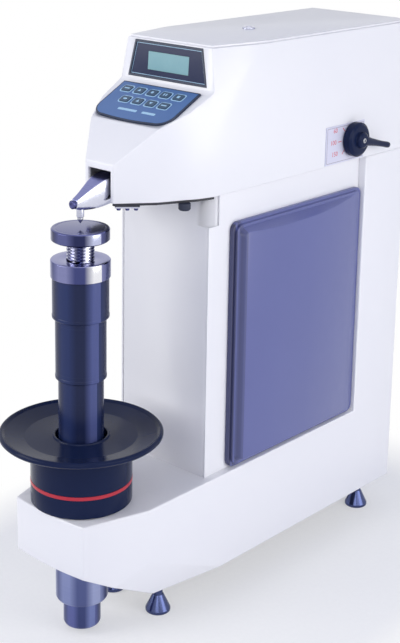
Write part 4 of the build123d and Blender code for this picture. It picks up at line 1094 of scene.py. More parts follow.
DISPLAY_FACE = Slope((0.0, 156.0, 728.0), (0.0, 4.0, 58.0))
KEYPAD_FACE = Slope((0.0, 148.216, 723.096), (0.0, 73.0, 37.0))
# Each opening of the head: its slope, half width, and lower and upper end up the slope.
OPENINGS = ((KEYPAD_FACE, 69.5, -77.5, 1.5), (DISPLAY_FACE, 72.0, 2.5, 54.5))
OPENING_DEPTH = 6.0


def facing(axis: str, x: float, y: float, z: float) -> Matrix:
    """Matrix that turns a form's local Z to +X, -Y or +Y and moves it to a place."""
    turn = {"+X": Matrix.Rotation(math.pi / 2, 4, "Y"), "-Y": Matrix.Rotation(math.pi / 2, 4, "X"),
            "+Y": Matrix.Rotation(-math.pi / 2, 4, "X")}[axis]
    return Matrix.Translation((x, y, z)) @ turn


def socket_head(radius: float, tall: float, key: float) -> Mesh:
    """Low screw head with a hexagonal recess, its seat in the local XY plane."""
    crown, around = 0.82 * radius, 24
    head = bmesh.new()

    def ring(reach: float, height: float, count: int = around) -> list[bmesh.types.BMVert]:
        """Vertices of one level."""
        return [head.verts.new((x, y, height)) for x, y in ellipse(2 * reach, 2 * reach, count=count)]

    low, waist, top = ring(radius, 0.0), ring(radius, tall * 0.6), ring(crown, tall)
    lip, floor = ring(key, tall, 6), ring(key, tall * 0.35, 6)
    head.faces.new(reversed(low))
    head.faces.new(floor)
    for level, following in ((low, waist), (waist, top)):
        for k in range(around):
            j = (k + 1) % around
            head.faces.new((level[k], level[j], following[j], following[k]))
    for k in range(6):
        j = (k + 1) % 6
        head.faces.new((lip[k], lip[j], floor[j], floor[k]))
        arc = [top[(4 * k + i) % around] for i in range(5)]
        head.faces.new([*arc, lip[j], lip[k]])
    return head


# ---------------------------------------------------------------- sub-assemblies
@dataclass
class Casework:
    """Painted frame, head cover, lid and plates, side panels, lid plug, and fittings under the nose."""

    shop: Workshop
    frame_edge: float = 2.4
    cover_edge: float = 1.2
    panel_edge: float = 1.3
    plug_radius: float = 9.0
    plug_place: Point2 = (0.0, 322.0)
    nose_low: float = 589.0
    buffer_place: Point2 = (74.0, 113.0)
    buffer_profile: tuple[Point2, ...] = ((0, 579.6), (6.6, 579.6), (8.0, 581.4), (8.0, 589.0),
                                           (0, 589.0))
    strip_place: Point2 = (34.5, 49.0)
    strip_size: Point2 = (32.0, 7.0)
    strip_thick: float = 2.0
    strip_screws: tuple[float, ...] = (-11.0, 0.0, 11.0)

    def build(self) -> None:
        """Build every piece."""
        self.painted("frame_casting", "machine_frame", self.frame_edge, 12.0)
        self.painted("head_shell", "head_cover", self.cover_edge, 3.0, self.off_console)
        self.painted("lid_plate", "top_lid", 0.8, 3.0)
        for side in ("right", "left"):
            self.painted(f"plate_{side}", f"side_plate_{side}", 0.6, 3.0)
            mesh = softened(twin(f"side_panel_{side}"), self.panel_edge, 0.4)
            self.shop.settle(f"panel_{side}", mesh, "root", "slate_panel", stands_for=[f"side_panel_{side}"],
                             turn_out=False)
        self.plug()
        self.underside()

    def painted(self, name: str, node: str, width: float, longer: float,
                pick: Callable[[bmesh.types.BMEdge], bool] | None = None) -> None:
        """One enamelled piece with rounded edges, in place of its node."""
        mesh = softened(twin(node), width, longer, pick=pick)
        self.shop.settle(name, mesh, "root", "white_paint", stands_for=[node], turn_out=False)

    @staticmethod
    def off_console(edge: bmesh.types.BMEdge) -> bool:
        """Whether an edge lies clear of the openings for the display and the keypad."""
        for slope, half, low, high in OPENINGS:
            inward = slope.matrix().inverted()
            ends = [inward @ vert.co for vert in edge.verts]
            if all(abs(end.x) < half and low < end.y < high and abs(end.z) < OPENING_DEPTH for end in ends):
                return False
        return True

    def underside(self) -> None:
        """Rubber buffer and a screwed strip under the head's nose."""
        x, y = self.buffer_place
        pad = lathe(rounded(self.buffer_profile, 1.2), 48)
        self.shop.settle("nose_buffer", placed(pad, Matrix.Translation((x, y, 0.0))), "root", "black_plastic",
                         finish="navy_rubber")
        x, y = self.strip_place
        down = Matrix.Rotation(math.pi, 4, "X")
        for side, name in ((-1, "left"), (1, "right")):
            turn = Matrix.Rotation(side * math.radians(45), 4, "Z")
            lay = Matrix.Translation((side * x, y, self.nose_low)) @ turn
            strip = extruded(rounded(rectangle(*self.strip_size), 1.5), -self.strip_thick, 0.0)
            heads = [placed(socket_head(2.9, 3.0, 1.5),
                            lay @ Matrix.Translation((at, 0.0, -self.strip_thick)) @ down)
                     for at in self.strip_screws]
            self.shop.settle(f"nose_strip_{name}", placed(strip, lay), "root", "steel_bright")
            self.shop.settle(f"nose_strip_screws_{name}", joined(heads), "root", "steel_bright",
                             finish="clamp_steel")

    def plug(self) -> None:
        """Round plug on the lid, with a raised rim."""
        r = self.plug_radius
        profile = rounded([(0, 0), (r, 0), (r, 1.6), (r - 1.6, 3.0), (r - 4.0, 3.0), (r - 4.6, 2.2),
                           (0, 2.2)], 0.5)
        mesh = placed(lathe(profile, 64), Matrix.Translation((*self.plug_place, HEAD_TOP)))
        self.shop.settle("lid_plug", mesh, "root", "steel_bright", stands_for=["top_plug"])


class Glyph(Enum):
    """Plain signs on the keys."""

    BAR = "bar"
    RING = "ring"
    UP = "up"
    DOWN = "down"
    DOT = "dot"
    TWIN = "twin"
    BLOCK = "block"


@dataclass
class Console:
    """Display with its screen, and keypad with nine keys."""

    shop: Workshop
    half: float = 68.0
    long: float = 76.0
    corner: float = 24.0
    bow: float = 2.5
    proud: float = 3.0
    key_size: Point2 = (15.0, 11.0)
    key_round: float = 2.5
    key_proud: float = 1.2
    key_thick: float = 3.0
    pitch: float = 23.0
    rows: tuple[tuple[int, float, float], ...] = ((5, -2.5, 15.8), (4, 1.0, 37.1))
    glyphs: tuple[Glyph, ...] = (Glyph.BAR, Glyph.UP, Glyph.RING, Glyph.TWIN, Glyph.BLOCK, Glyph.DOT,
                                 Glyph.UP, Glyph.DOWN, Glyph.BAR)
    bars: tuple[tuple[float, float, float, float], ...] = ((-13.0, -56.5, 33.0, 4.2),
                                                           (24.5, -56.5, 23.0, 4.2))
    bezel_outer: tuple[float, ...] = (70.0, 60.0, 4.0, 53.0)
    bezel_inner: tuple[float, ...] = (66.6, 57.6, 7.0, 50.0)
    pane_outer: tuple[float, ...] = (67.6, 58.4, 6.0, 51.0)
    line_outer: tuple[float, ...] = (65.8, 57.1, 7.6, 49.4)
    line_inner: tuple[float, ...] = (65.1, 56.5, 8.3, 48.7)
    pocket_size: Point2 = (15.6, 11.6)
    key_frame_outer: Point2 = (19.6, 15.4)
    key_frame_inner: Point2 = (16.0, 12.0)
    frame_thick: float = 0.18
    screen_size: Point2 = (72.0, 24.0)
    screen_rise: float = 27.5
    print_thick: float = 0.12

    def build(self) -> None:
        """Build every piece."""
        self.display()
        self.keypad()
        for number, place in enumerate(self.places(), start=1):
            self.key(number, place, self.glyphs[number - 1])

    def places(self) -> list[Point2]:
        """Centres of the keys."""
        found = []
        for count, middle, down in self.rows:
            first = middle - (count - 1) * self.pitch / 2
            found += [(first + i * self.pitch, -down) for i in range(count)]
        return found

    def outline(self, inset: float) -> list[Point2]:
        """Outline of the keypad, drawn in by a distance."""
        half, long, corner = self.half - inset, self.long - inset, self.corner - inset
        right = [(half, -inset)]
        for k in range(9):
            a = TAU / 4 * k / 8
            right.append((half - corner + corner * math.cos(a),
                          corner - corner * math.sin(a) - long + self.bow * k / 8))
        flat = half - corner
        front = [(flat * (1 - k / 6), -long + self.bow * (1 - k / 6) ** 2) for k in range(1, 12)]
        left = [(-x, y) for x, y in reversed(right)]
        return right + front + left

    def display(self) -> None:
        """Bezel, window, screen and the fine bright line between them."""
        shop, (wide, tall) = self.shop, self.screen_size
        rim = perforated([rounded(trapezoid(*self.bezel_outer), 1.5),
                          rounded(trapezoid(*self.bezel_inner), 1.0)], 4.4)
        shop.settle("display_frame", placed(rim, DISPLAY_FACE.matrix(lift=-3.9)), "root", "display_dark",
                    finish="dark_ink", stands_for=["display_bezel"])
        pane = perforated([rounded(trapezoid(*self.pane_outer), 1.0),
                           rectangle(wide + 0.6, tall + 0.6, 0.0, self.screen_rise)], 1.5)
        shop.settle("display_pane", placed(pane, DISPLAY_FACE.matrix(lift=-2.5)), "root", "display_dark",
                    stands_for=["display_window"])
        line = perforated([trapezoid(*self.line_outer), trapezoid(*self.line_inner)], self.print_thick)
        shop.settle("display_line", placed(line, DISPLAY_FACE.matrix(lift=-1.0)), "root", "display_dark",
                    finish="light_ink")
        glass = softened(extruded(rounded(rectangle(wide, tall, 0.0, self.screen_rise), 0.6), 0.0, 1.6),
                         0.25, 1.0)
        shop.settle("screen", placed(glass, DISPLAY_FACE.matrix(lift=-2.6)), "root", "lcd_green",
                    stands_for=["lcd_module"])

    def keypad(self) -> None:
        """Keypad tray, its printed membrane, the frames round the keys and two plain bars."""
        shop = self.shop
        pockets = [rounded(rectangle(*self.pocket_size, *place), 2.8) for place in self.places()]
        tray = perforated([self.outline(0.0), *pockets], 4.6)
        shop.settle("keypad_tray", placed(tray, KEYPAD_FACE.matrix(lift=-2.0)), "root", "keypad_blue",
                    finish="dark_ink", stands_for=["keypad_panel"])
        sheet = perforated([self.outline(2.0), *pockets], 0.35)
        shop.settle("keypad_sheet", placed(sheet, KEYPAD_FACE.matrix(lift=self.proud - 0.4)), "root",
                    "keypad_blue")
        ring = perforated([rounded(rectangle(*self.key_frame_outer), 4.4),
                           rounded(rectangle(*self.key_frame_inner), 3.0)], self.frame_thick)
        level = self.proud - self.frame_thick / 3
        spots = [KEYPAD_FACE.spot(x, y, level) for x, y in self.places()]
        shop.repeat("key_frames", ring, spots, "root", "keypad_blue", "light_ink", turn=KEYPAD_FACE.tilt())
        bars = joined(placed(extruded(rounded(rectangle(wide, tall), 1.2), 0.0, self.frame_thick),
                             KEYPAD_FACE.matrix(x, y, level)) for x, y, wide, tall in self.bars)
        shop.settle("keypad_bars", bars, "root", "keypad_blue", finish="light_ink")

    def key(self, number: int, place: Point2, glyph: Glyph) -> None:
        """Cap and sign of one key."""
        shop, body = self.shop, f"key_{number}"
        top = self.proud + self.key_proud
        cap = extruded(rounded(rectangle(*self.key_size), self.key_round, 5), 0.0, self.key_thick)
        upper = 2 * self.key_thick - 0.1
        cap = softened(cap, 0.5, 0.2, 2, lambda e: e.verts[0].co.z + e.verts[1].co.z > upper)
        shop.settle(f"key_cap_{number}", placed(cap, KEYPAD_FACE.matrix(*place, top - self.key_thick)),
                    body, "key_cap",
                    stands_for=[f"key_{number}"])
        sign = joined(extruded(outline, 0.0, self.print_thick) for outline in self.sign(glyph))
        shop.settle(f"key_sign_{number}", placed(sign, KEYPAD_FACE.matrix(*place, top - 0.02)), body,
                    "key_cap",
                    finish="light_ink")

    def sign(self, glyph: Glyph) -> list[list[Point2]]:
        """Outlines of one sign."""
        return {
            Glyph.BAR: [rounded(rectangle(9.0, 2.0), 0.6)],
            Glyph.RING: [ellipse(4.6, 4.6)],
            Glyph.UP: [[(-2.8, -2.0), (2.8, -2.0), (0.0, 2.6)]],
            Glyph.DOWN: [[(2.8, 2.0), (-2.8, 2.0), (0.0, -2.6)]],
            Glyph.DOT: [ellipse(7.0, 3.4)],
            Glyph.TWIN: [rectangle(2.0, 4.4, -2.0), rectangle(2.0, 4.4, 2.0)],
            Glyph.BLOCK: [rounded(rectangle(4.4, 4.4), 0.7)],
        }[glyph]


@dataclass
class LoadSelector:
    """Index plate, knob and handle on the head's right side."""

    shop: Workshop
    knob_place: Point3 = (94.0, 449.0, 626.0)
    knob_profile: tuple[Point2, ...] = ((0, 0), (24, 0), (25, 2), (25, 11), (21, 14), (13, 14.5), (12, 14.5),
                                        (11.5, 19.0), (9, 20.8), (0, 20.8))
    screw_lift: float = 20.2
    handle_lift: float = 15.0
    handle_droop: float = math.radians(14)
    handle_radii: tuple[Point2, ...] = ((0.0, 7.2), (12.0, 7.0), (24.0, 5.8), (40.0, 4.8), (56.0, 4.3),
                                        (66.0, 4.6), (71.0, 4.2), (73.5, 2.6))
    plate_face: float = 93.5
    plate_middle: Point2 = (431.5, 622.5)
    border_outer: Point2 = (87.0, 51.0)
    border_inner: Point2 = (85.4, 49.4)
    tick_angles: Point3 = (135, 180, 225)
    tick_size: Point2 = (8.0, 1.1)
    tick_reach: float = 31.0
    tick_squash: float = 0.75
    figure_size: float = 9.5
    print_thick: float = 0.12
    figures: tuple[tuple[str, float, float], ...] = (("60", -42.0, 17.0), ("100", -46.0, 0.0),
                                                     ("150", -42.0, -17.0))

    def build(self) -> None:
        """Build every piece."""
        shop = self.shop
        x, y, z = self.knob_place
        disc = placed(lathe(rounded(self.knob_profile, 1.4), 96), facing("+X", x, y, z))
        shop.settle("selector_grip", joined([disc, self.handle()]), "selector", "black_gloss",
                    stands_for=["selector_knob"])
        screw = placed(socket_head(3.6, 1.6, 1.7), facing("+X", x + self.screw_lift, y, z))
        shop.settle("selector_screw", screw, "selector", "steel_satin", finish="shaft_across")
        self.marks()

    def handle(self) -> Mesh:
        """Tapered drooping handle as a loft of rings, each a little flat."""
        x, y, z = self.knob_place
        run, fall = math.cos(self.handle_droop), math.sin(self.handle_droop)
        rings = []
        for along, radius in self.handle_radii:
            centre = Vector((x + self.handle_lift, y + along * run, z - along * fall))
            rings.append([centre + Vector((side * 0.8, rise * fall, rise * run))
                          for side, rise in ellipse(2 * radius, 2 * radius)])
        return loft(rings)

    def marks(self) -> None:
        """Printed border, ticks and load numbers."""
        shop, (_, y, z), thick = self.shop, self.knob_place, self.print_thick
        face = self.plate_face - 0.02
        turn = Matrix(((0, 0, 1, 0), (1, 0, 0, 0), (0, 1, 0, 0), (0, 0, 0, 1)))
        border = perforated([rounded(rectangle(*self.border_outer), 2.0),
                             rounded(rectangle(*self.border_inner), 1.6)], thick)
        lay = Matrix.Translation((face, *self.plate_middle)) @ turn
        shop.settle("plate_border", placed(border, lay), "root", "index_plate", finish="grey_ink")
        marks = []
        for degrees in self.tick_angles:
            a = math.radians(degrees)
            across, up = self.tick_reach * math.cos(a), self.tick_reach * math.sin(a) * self.tick_squash
            spot = Matrix.Translation((face, y + across, z + up)) @ turn
            tick = extruded(rectangle(*self.tick_size), 0.0, thick)
            marks.append(placed(tick, spot @ Matrix.Rotation(a, 4, "Z")))
        for text, dy, dz in self.figures:
            spot = Matrix.Translation((face, y + dy, z + dz)) @ turn
            marks.append(placed(lettering(text, self.figure_size, thick), spot))
        shop.settle("plate_figures", joined(marks), "root", "index_plate", finish="red_ink")


@dataclass
class NoseArm:
    """Rounded nose arm with its indenter and clamp screw."""

    shop: Workshop
    stations: tuple[tuple[float, float, float, float], ...] = (
        (-9.9, 4.6, 590.6, 600.2), (-8.6, 5.6, 589.4, 602.0), (-3.0, 6.4, 587.6, 604.8),
        (4.0, 7.6, 586.6, 608.6),
        (13.0, 9.8, 586.0, 613.6), (23.0, 12.6, 586.2, 618.8), (33.0, 14.9, 587.2, 623.0),
        (44.0, 15.9, 588.6, 625.8),
        (58.0, 16.0, 589.8, 627.0), (139.0, 16.0, 590.0, 627.0))
    section: tuple[Point2, ...] = ((0.0, -1.0), (0.62, -0.96), (0.86, -0.72), (1.0, -0.2), (1.0, 0.55),
                                   (0.97, 0.86), (0.90, 0.97), (0.80, 1.0), (0.0, 1.0))
    flat_share: float = 0.80
    flat_lift: float = 0.12
    flat_deep: float = 0.4
    holder_profile: tuple[Point2, ...] = ((0, 578.0), (4.4, 578.0), (4.9, 578.6), (4.9, 590.0), (0, 590.0))
    tip_profile: tuple[Point2, ...] = ((0, 569.5), (0.35, 569.6), (3.4, 574.2), (3.8, 575.2), (3.8, 579.5),
                                       (0, 579.5))
    clamp_place: Point3 = (0.0, -10.0, 596.0)
    clamp_profile: tuple[Point2, ...] = ((0, 0), (5.0, 0), (5.4, 0.8), (5.4, 4.0), (4.4, 5.0), (2.2, 5.0),
                                         (2.0, 4.0), (0, 4.0))
    knurl_ribs: int = 36

    def build(self) -> None:
        """Build every piece."""
        shop = self.shop
        shop.settle("arm_body", self.arm(), "arm", "steel_bright", finish="arm_steel",
                    stands_for=["nose_arm"])
        shop.settle("indenter_holder", lathe(rounded(self.holder_profile, 0.4), 48), "arm", "steel_bright")
        shop.settle("indenter_tip", lathe(rounded(self.tip_profile, 0.25), 48), "arm", "steel_bright",
                    finish="steel_satin", stands_for=["indenter"])
        # The flat's darker steel is painted shade on the arm's back; the sides keep the light arm steel.
        shop.settle("arm_flat", self.flat(), "arm", "steel_bright", finish="painted_shade_steel")
        self.clamp()

    def flat(self) -> Mesh:
        """Thin flat on the arm's back, in a darker steel that is painted shade."""
        rings = []
        for y, half, _, high in spline(self.stations, 5):
            wide, low, top = self.flat_share * half, high - self.flat_deep, high + self.flat_lift
            rings.append([(-wide, y, low), (wide, y, low), (wide, y, top), (-wide, y, top)])
        return loft(rings)

    def arm(self) -> Mesh:
        """Loft of sections along the arm: a rounded belly, upright sides and a flat back."""
        right = list(self.section)
        around = right + [(-x, z) for x, z in reversed(right[1:-1])]
        rings = []
        for y, half, low, high in spline(self.stations, 5):
            middle, tall = (low + high) / 2, (high - low) / 2
            rings.append([(half * x, y, middle + tall * z) for x, z in around])
        return loft(rings)

    def clamp(self) -> None:
        """Knurled head of the clamp screw."""
        seat = facing("-Y", *self.clamp_place)
        head = placed(lathe(rounded(self.clamp_profile, 0.4), 60), seat)
        self.shop.settle("clamp_head", head, "clamp", "steel_satin", finish="clamp_steel",
                         stands_for=["clamp_screw"])
        rib = extruded(rectangle(0.5, 0.7), 0.9, 4.1)
        out = Matrix.Translation((5.35, 0, 0))
        ribs = joined(placed(rib.copy(), seat @ Matrix.Rotation(TAU * k / self.knurl_ribs, 4, "Z") @ out)
                      for k in range(self.knurl_ribs))
        rib.free()
        self.shop.settle("clamp_knurl", ribs, "clamp", "steel_satin", finish="clamp_steel")


@dataclass
class ElevatingColumn:
    """Screw with its anvil, collar, telescoping sleeves, guard and cap."""

    shop: Workshop
    crest: float = 17.95
    thread_deep: float = 1.6
    lead: float = 4.0
    screw_low: float = 22.0
    neck_low: float = SCREW_TOP - 22.0
    bore: float = 8.05
    shank_radius: float = 8.0
    collar: Point2 = (500.2, 523.4)
    collar_radius: float = 38.5
    collar_bore: float = 18.05
    anvil_radius: float = 37.5
    guard_profile: tuple[Point2, ...] = ((26, 49), (31.5, 49), (33.8, 50.1), (35, 52.4), (35, 112), (26, 112))
    cap_profile: tuple[Point2, ...] = ((0, 10), (20.5, 10), (23.6, 11.4), (25, 14.5), (25, 75), (18.05, 75),
                                       (18.05, 22), (0, 22))
    wall: float = 3.0
    sleeves: tuple[tuple[str, str, float, float, float], ...] = (
        ("sleeve_upper", "screw", 37.0, 445.7, 500.2), ("sleeve_middle", "sleeve_middle", 33.5, 363.7, 455.2),
        ("sleeve_lower", "sleeve_lower", 30.0, 275.2, 373.2))

    def build(self) -> None:
        """Build every piece."""
        self.screw()
        self.anvil()
        self.turned_collar()
        for sleeve in self.sleeves:
            self.sleeve(*sleeve)
        self.guard()

    def screw(self) -> None:
        """Threaded screw, and the bored neck of it that holds the anvil's shank."""
        for name, low, high, bore, nodes in (("screw_thread", self.screw_low, self.neck_low, 0.0,
                                              ["elevating_screw"]),
                                             ("screw_neck", self.neck_low, SCREW_TOP, self.bore, [])):
            self.shop.threaded(name, "screw", "steel_bright", self.crest, self.thread_deep, self.lead, low,
                               high, bore, "thread_steel", nodes)

    def anvil(self) -> None:
        """Flat anvil with a broken edge, a ring groove on its face and a shank."""
        r, shank, foot, low, top = self.anvil_radius, self.shank_radius, self.neck_low, SCREW_TOP, ANVIL_FACE
        profile = [(0, foot), (shank - 0.6, foot), (shank, foot + 0.6), (shank, low), (r - 1.4, low),
                   (r, low + 1.4),
                   (r, top - 1.6), (r - 1.6, top), (r - 5.2, top), (r - 5.6, top - 0.35), (r - 6.0, top),
                   (0, top)]
        self.shop.settle("anvil_disc", lathe(rounded(profile, 0.35, 3)), "screw", "anvil_steel",
                         stands_for=["anvil"])

    def turned_collar(self) -> None:
        """Polished collar."""
        (low, top), r, inner = self.collar, self.collar_radius, self.collar_bore
        profile = [(inner, low), (r - 0.8, low), (r, low + 0.8), (r, top - 1.2), (r - 1.2, top), (inner, top)]
        self.shop.settle("collar_ring", lathe(rounded(profile, 0.25, 2)), "screw", "steel_bright",
                         finish="collar_steel", stands_for=["screw_collar"])

    def sleeve(self, node: str, body: str, outer: float, low: float, high: float) -> None:
        """One sleeve with a rolled bead round its lower edge."""
        inner = outer - self.wall
        profile = [(inner, low), (outer - 1.4, low), (outer, low + 1.4), (outer, low + 4.6),
                   (outer - 0.45, low + 5.2),
                   (outer - 0.45, high - 0.6), (outer - 0.9, high), (inner, high)]
        self.shop.settle(node + "_tube", lathe(rounded(profile, 0.4, 3)), body, "black_sleeve",
                         stands_for=[node])

    def guard(self) -> None:
        """Fixed guard tube under the base, and the cap on the screw's end."""
        tube = lathe(rounded(self.guard_profile, 0.6, 3))
        self.shop.settle("guard_sleeve", tube, "root", "guard_steel", stands_for=["guard_tube"])
        cap = lathe(rounded(self.cap_profile, 0.8, 4))
        self.shop.settle("screw_end_cap", cap, "screw", "guard_steel", finish="cap_steel",
                         stands_for=["screw_cap"])


@dataclass
class Handwheel:
    """Dished lacquered handwheel with its drum and red ring."""

    shop: Workshop
    profile: tuple[Point2, ...] = (
        (22.0, 203.0), (38.5, 203.0), (38.5, 277.0), (61.0, 277.0), (61.0, 194.2), (67.0, 194.2),
        (67.0, 220.5),
        (65.5, 220.5), (65.5, 225.5), (67.0, 225.5), (67.0, 275.6), (98.0, 281.5), (105.2, 282.6),
        (107.6, 285.2),
        (107.6, 288.4), (105.4, 290.9), (103.2, 290.9), (99.5, 288.2), (74.0, 283.0), (37.6, 283.0),
        (37.0, 285.0),
        (34.0, 285.0), (34.0, 213.0), (22.0, 213.0))
    ring_profile: tuple[Point2, ...] = ((65.5, 220.6), (67.3, 220.6), (67.3, 225.4), (65.5, 225.4))

    def build(self) -> None:
        """Build every piece."""
        shop = self.shop
        wheel = lathe(rounded(self.profile, 1.6, 4), 180)
        shop.settle("wheel_body", wheel, "handwheel", "black_gloss", stands_for=["handwheel"])
        ring = lathe(rounded(self.ring_profile, 0.5), 180)
        shop.settle("drum_ring", ring, "handwheel", "red_plastic", stands_for=["red_ring"])


@dataclass
class Feet:
    """Four levelling feet with their lock nuts."""

    shop: Workshop
    places: tuple[tuple[str, float, float], ...] = (
        ("foot_front_left", -44.0, 103.0), ("foot_front_right", 44.0, 103.0),
        ("foot_rear_left", -56.0, 556.0), ("foot_rear_right", 56.0, 556.0))
    pad_profile: tuple[Point2, ...] = ((0, 0), (16, 0), (17.4, 1.4), (17.4, 4.8), (7.4, 25.8), (6.4, 26.4),
                                       (6.4, 90.0), (0, 90.0))
    nut_levels: Point2 = (43.5, 51.5)
    nut_corner: float = 10.9

    def build(self) -> None:
        """Build every piece."""
        for node, x, y in self.places:
            self.foot(node, x, y)

    def foot(self, node: str, x: float, y: float) -> None:
        """One foot with a conical pad, its stud and a hexagonal lock nut."""
        pad = placed(lathe(rounded(self.pad_profile, 0.8), 72), Matrix.Translation((x, y, 0)))
        self.shop.settle(node + "_pad", pad, node, "foot_steel", stands_for=[node])
        hexagon = ellipse(2 * self.nut_corner, 2 * self.nut_corner, x, y, 6)
        nut = softened(extruded(hexagon, *self.nut_levels), 0.7, 0.5, 2)
        self.shop.settle(node + "_nut", nut, node, "foot_steel")


@dataclass
class RearPanel:
    """Rear cover with screws and louvres, and the rocker switch."""

    shop: Workshop
    back: float = 592.0
    screw_columns: Point2 = (-55.0, 55.0)
    screw_rows: Point3 = (250.0, 388.0, 526.0)
    louvre_count: int = 8
    louvre_first: float = 400.0
    louvre_pitch: float = 13.0
    louvre_half: float = 34.0

    def build(self) -> None:
        """Build every piece."""
        shop = self.shop
        shop.settle("rear_sheet", softened(twin("rear_cover"), 0.5, 3.0), "root", "white_paint",
                    stands_for=["rear_cover"], turn_out=False)
        corners = [(x, self.back, z) for x in self.screw_columns for z in self.screw_rows]
        shop.repeat("rear_screws", socket_head(3.6, 1.8, 1.8), corners, "root", "steel_satin",
                    turn=(-math.pi / 2, 0, 0))
        rows = [(0.0, self.back, self.louvre_first + self.louvre_pitch * k) for k in range(self.louvre_count)]
        shop.repeat("rear_louvres", self.louvre(), rows, "root", "white_paint")
        rocker = softened(twin("switch_rocker"), 0.5, 1.0)
        shop.settle("rocker", rocker, "switch", "red_plastic", stands_for=["switch_rocker"], turn_out=False)

    def louvre(self) -> Mesh:
        """Pressed louvre hood, open downwards."""
        rings, count = [], 20
        for k in range(count + 1):
            x = -self.louvre_half + 2 * self.louvre_half * (k / count)
            swell = max(0.0, math.sin(math.pi * (k / count))) ** 0.35
            rings.append([(x, 0.0, 0.0), (x, 0.0, 5.5 * swell + 0.3),
                          (x, 1.7 * swell + 0.05, 3.4 * swell + 0.2),
                          (x, 2.3 * swell + 0.1, 0.0)])
        return loft(rings)


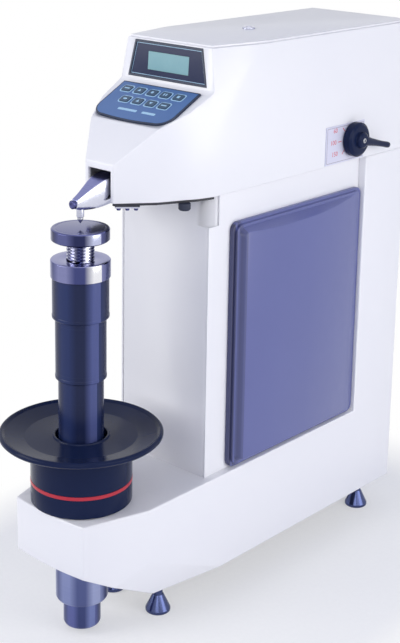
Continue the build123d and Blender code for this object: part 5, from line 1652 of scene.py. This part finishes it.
# ---------------------------------------------------------------- studio
@dataclass
class Studio:
    """Camera, lamps, world and floor."""

    place: Point3 = (1.243076, -1.179449, 1.048026)
    yaw: float = 41.485
    pitch: float = 14.6
    roll: float = 0.998
    lens: float = 78.92
    sensor: float = 36.0
    shift: float = -0.19
    shade_near: float = 0.34
    shade_far: float = 0.58
    shade_least: float = 0.40
    soft_sky: Colour = (0.62, 0.69, 1.0)
    soft_strength: float = 0.45
    lamp_tone: Colour = (1.0, 0.985, 0.92)
    lamps: tuple[tuple[str, Point3, Point3, float, float], ...] = (
        ("key_lamp", (-1.5, -2.3, 1.5), (0.0, 0.2, 0.5), 1.9, 48.0),
        ("side_lamp", (1.9, -0.1, 1.3), (0.0, 0.3, 0.65), 1.2, 8.5),
        ("rear_lamp", (2.4, 0.9, 0.7), (0.0, 0.3, 0.4), 1.4, 19.5),
        ("fill_lamp", (1.4, -1.8, 1.3), (0.0, 0.1, 0.7), 1.2, 11.0),
        ("top_lamp", (0.3, 0.2, 3.2), (0.0, 0.2, 0.5), 2.0, 5.5))

    def build(self) -> None:
        """Build every piece of the studio."""
        self.camera()
        self.world()
        self.floor()
        for lamp in self.lamps:
            self.lamp(*lamp)

    def camera(self) -> None:
        """Camera at its place in metres, turned by its angles in degrees, with its frame shifted down."""
        yaw, pitch, roll = (math.radians(v) for v in (self.yaw, self.pitch, self.roll))
        ahead = Vector((-math.sin(yaw) * math.cos(pitch), math.cos(yaw) * math.cos(pitch), -math.sin(pitch)))
        level = Vector((math.cos(yaw), math.sin(yaw), 0.0))
        up = level.cross(ahead)
        right = level * math.cos(roll) + up * math.sin(roll)
        top = up * math.cos(roll) - level * math.sin(roll)
        data = bpy.data.cameras.new("view")
        data.lens, data.sensor_width, data.shift_y = self.lens, self.sensor, self.shift
        data.clip_end = 50.0
        camera = linked("view", data)
        turn = Matrix((right, top, -ahead)).transposed().to_4x4()
        camera.matrix_world = Matrix.Translation(self.place) @ turn
        bpy.context.scene.camera = camera

    def world(self) -> None:
        """White world for the camera, softer light for the object."""
        world = bpy.data.worlds.new("studio")
        world.use_nodes = True
        bench = Bench(world.node_tree)
        bench.tree.nodes.clear()
        path = bench.node("ShaderNodeLightPath")
        direct, glossy, clear = (bench.wire(path, f"Is {kind} Ray") for kind in ("Camera", "Glossy",
                                                                                 "Transmission"))
        seen = direct.maths("MAXIMUM", direct, glossy)
        seen = seen.maths("MAXIMUM", seen, clear)
        soft, white = (bench.wire(bench.node("ShaderNodeBackground", None,
                                             {"Color": tone, "Strength": strength}))
                       for tone, strength in ((self.soft_sky, self.soft_strength), ((1.0, 1.0, 1.0), 1.0)))
        mix = bench.wire(bench.node("ShaderNodeMixShader", None, {0: seen, 1: soft, 2: white}))
        bench.node("ShaderNodeOutputWorld", None, {0: mix})
        bpy.context.scene.world = world
        bpy.context.scene.view_settings.view_transform = "Standard"

    def floor(self) -> None:
        """Plain pale floor that keeps the object's shadow."""
        mesh = bpy.data.meshes.new("floor")
        mesh.from_pydata([(-6, -6, 0), (6, -6, 0), (6, 6, 0), (-6, 6, 0)], [], [(0, 1, 2, 3)])
        mix = Mixture("floor_paper")
        grain = mix.noise(mix.place(), 160.0, 3.0)
        paper = mix.finish(Base_Color=mix.ramp(grain, [(0.3, (0.93, 0.93, 0.94)),
                                                       (0.7, (0.96, 0.96, 0.965))]),
                           Roughness=0.9, Specular_IOR_Level=0.1)
        x, y, _ = mix.split(mix.place((0.0, 0.25, 0.0)))
        far = ((x * x * 2.2 + y * y) ** 0.5 - self.shade_near) / (self.shade_far - self.shade_near)
        fade = far.maths("SMOOTH_MIN", far.maths("MAXIMUM", far, self.shade_least), 1.0, 0.1)
        path = mix.node("ShaderNodeLightPath")
        direct, glossy = (mix.wire(path, f"Is {kind} Ray") for kind in ("Camera", "Glossy"))
        seen = direct.maths("MAXIMUM", direct, glossy)
        glow = mix.wire(mix.node("ShaderNodeEmission", None, {"Color": (1.0, 1.0, 1.0), "Strength": 1.0}))
        blend = mix.wire(mix.node("ShaderNodeMixShader", None,
                                  {0: fade * seen, 1: mix.wire(mix.shader), 2: glow}))
        out = next(node for node in mix.tree.nodes if node.type == "OUTPUT_MATERIAL")
        mix.feed(out.inputs[0], blend)
        mesh.materials.append(paper)
        linked("floor", mesh)

    def lamp(self, name: str, place: Sequence[float], target: Sequence[float], size: float,
             power: float) -> None:
        """Square soft lamp aimed at a target."""
        data = bpy.data.lights.new(name, "AREA")
        data.shape, data.size, data.energy, data.color = "SQUARE", size, power, self.lamp_tone
        lamp = linked(name, data)
        aim = (Vector(target) - Vector(place)).to_track_quat("-Z", "Y")
        lamp.matrix_world = Matrix.Translation(place) @ aim.to_matrix().to_4x4()


def main() -> None:
    """Build the studio and the dressed tester, and report each piece."""
    logging.basicConfig(level=logging.INFO, format="%(name)s: %(message)s")
    palette = Palette()
    Studio().build()
    dress_nodes(palette)
    shop = Workshop(palette)
    for assembly in (Casework(shop), Console(shop), LoadSelector(shop), NoseArm(shop), ElevatingColumn(shop),
                     Handwheel(shop), Feet(shop), RearPanel(shop)):
        LOG.info("building %s", type(assembly).__name__)
        assembly.build()


def dress_nodes(palette: Palette) -> None:
    """Give every CAD node the finish of its record slot."""
    for entry in frame["record"]["subparts"]:
        name, slot = entry["node"], entry["material_slot"]
        node = frame["nodes"][name]
        if not node.material_slots:
            node.data.materials.append(None)
        for place in node.material_slots:
            place.material = palette.material(slot)
        LOG.info("%s takes the finish %s", name, slot)


if __name__ == "__main__":
    main()
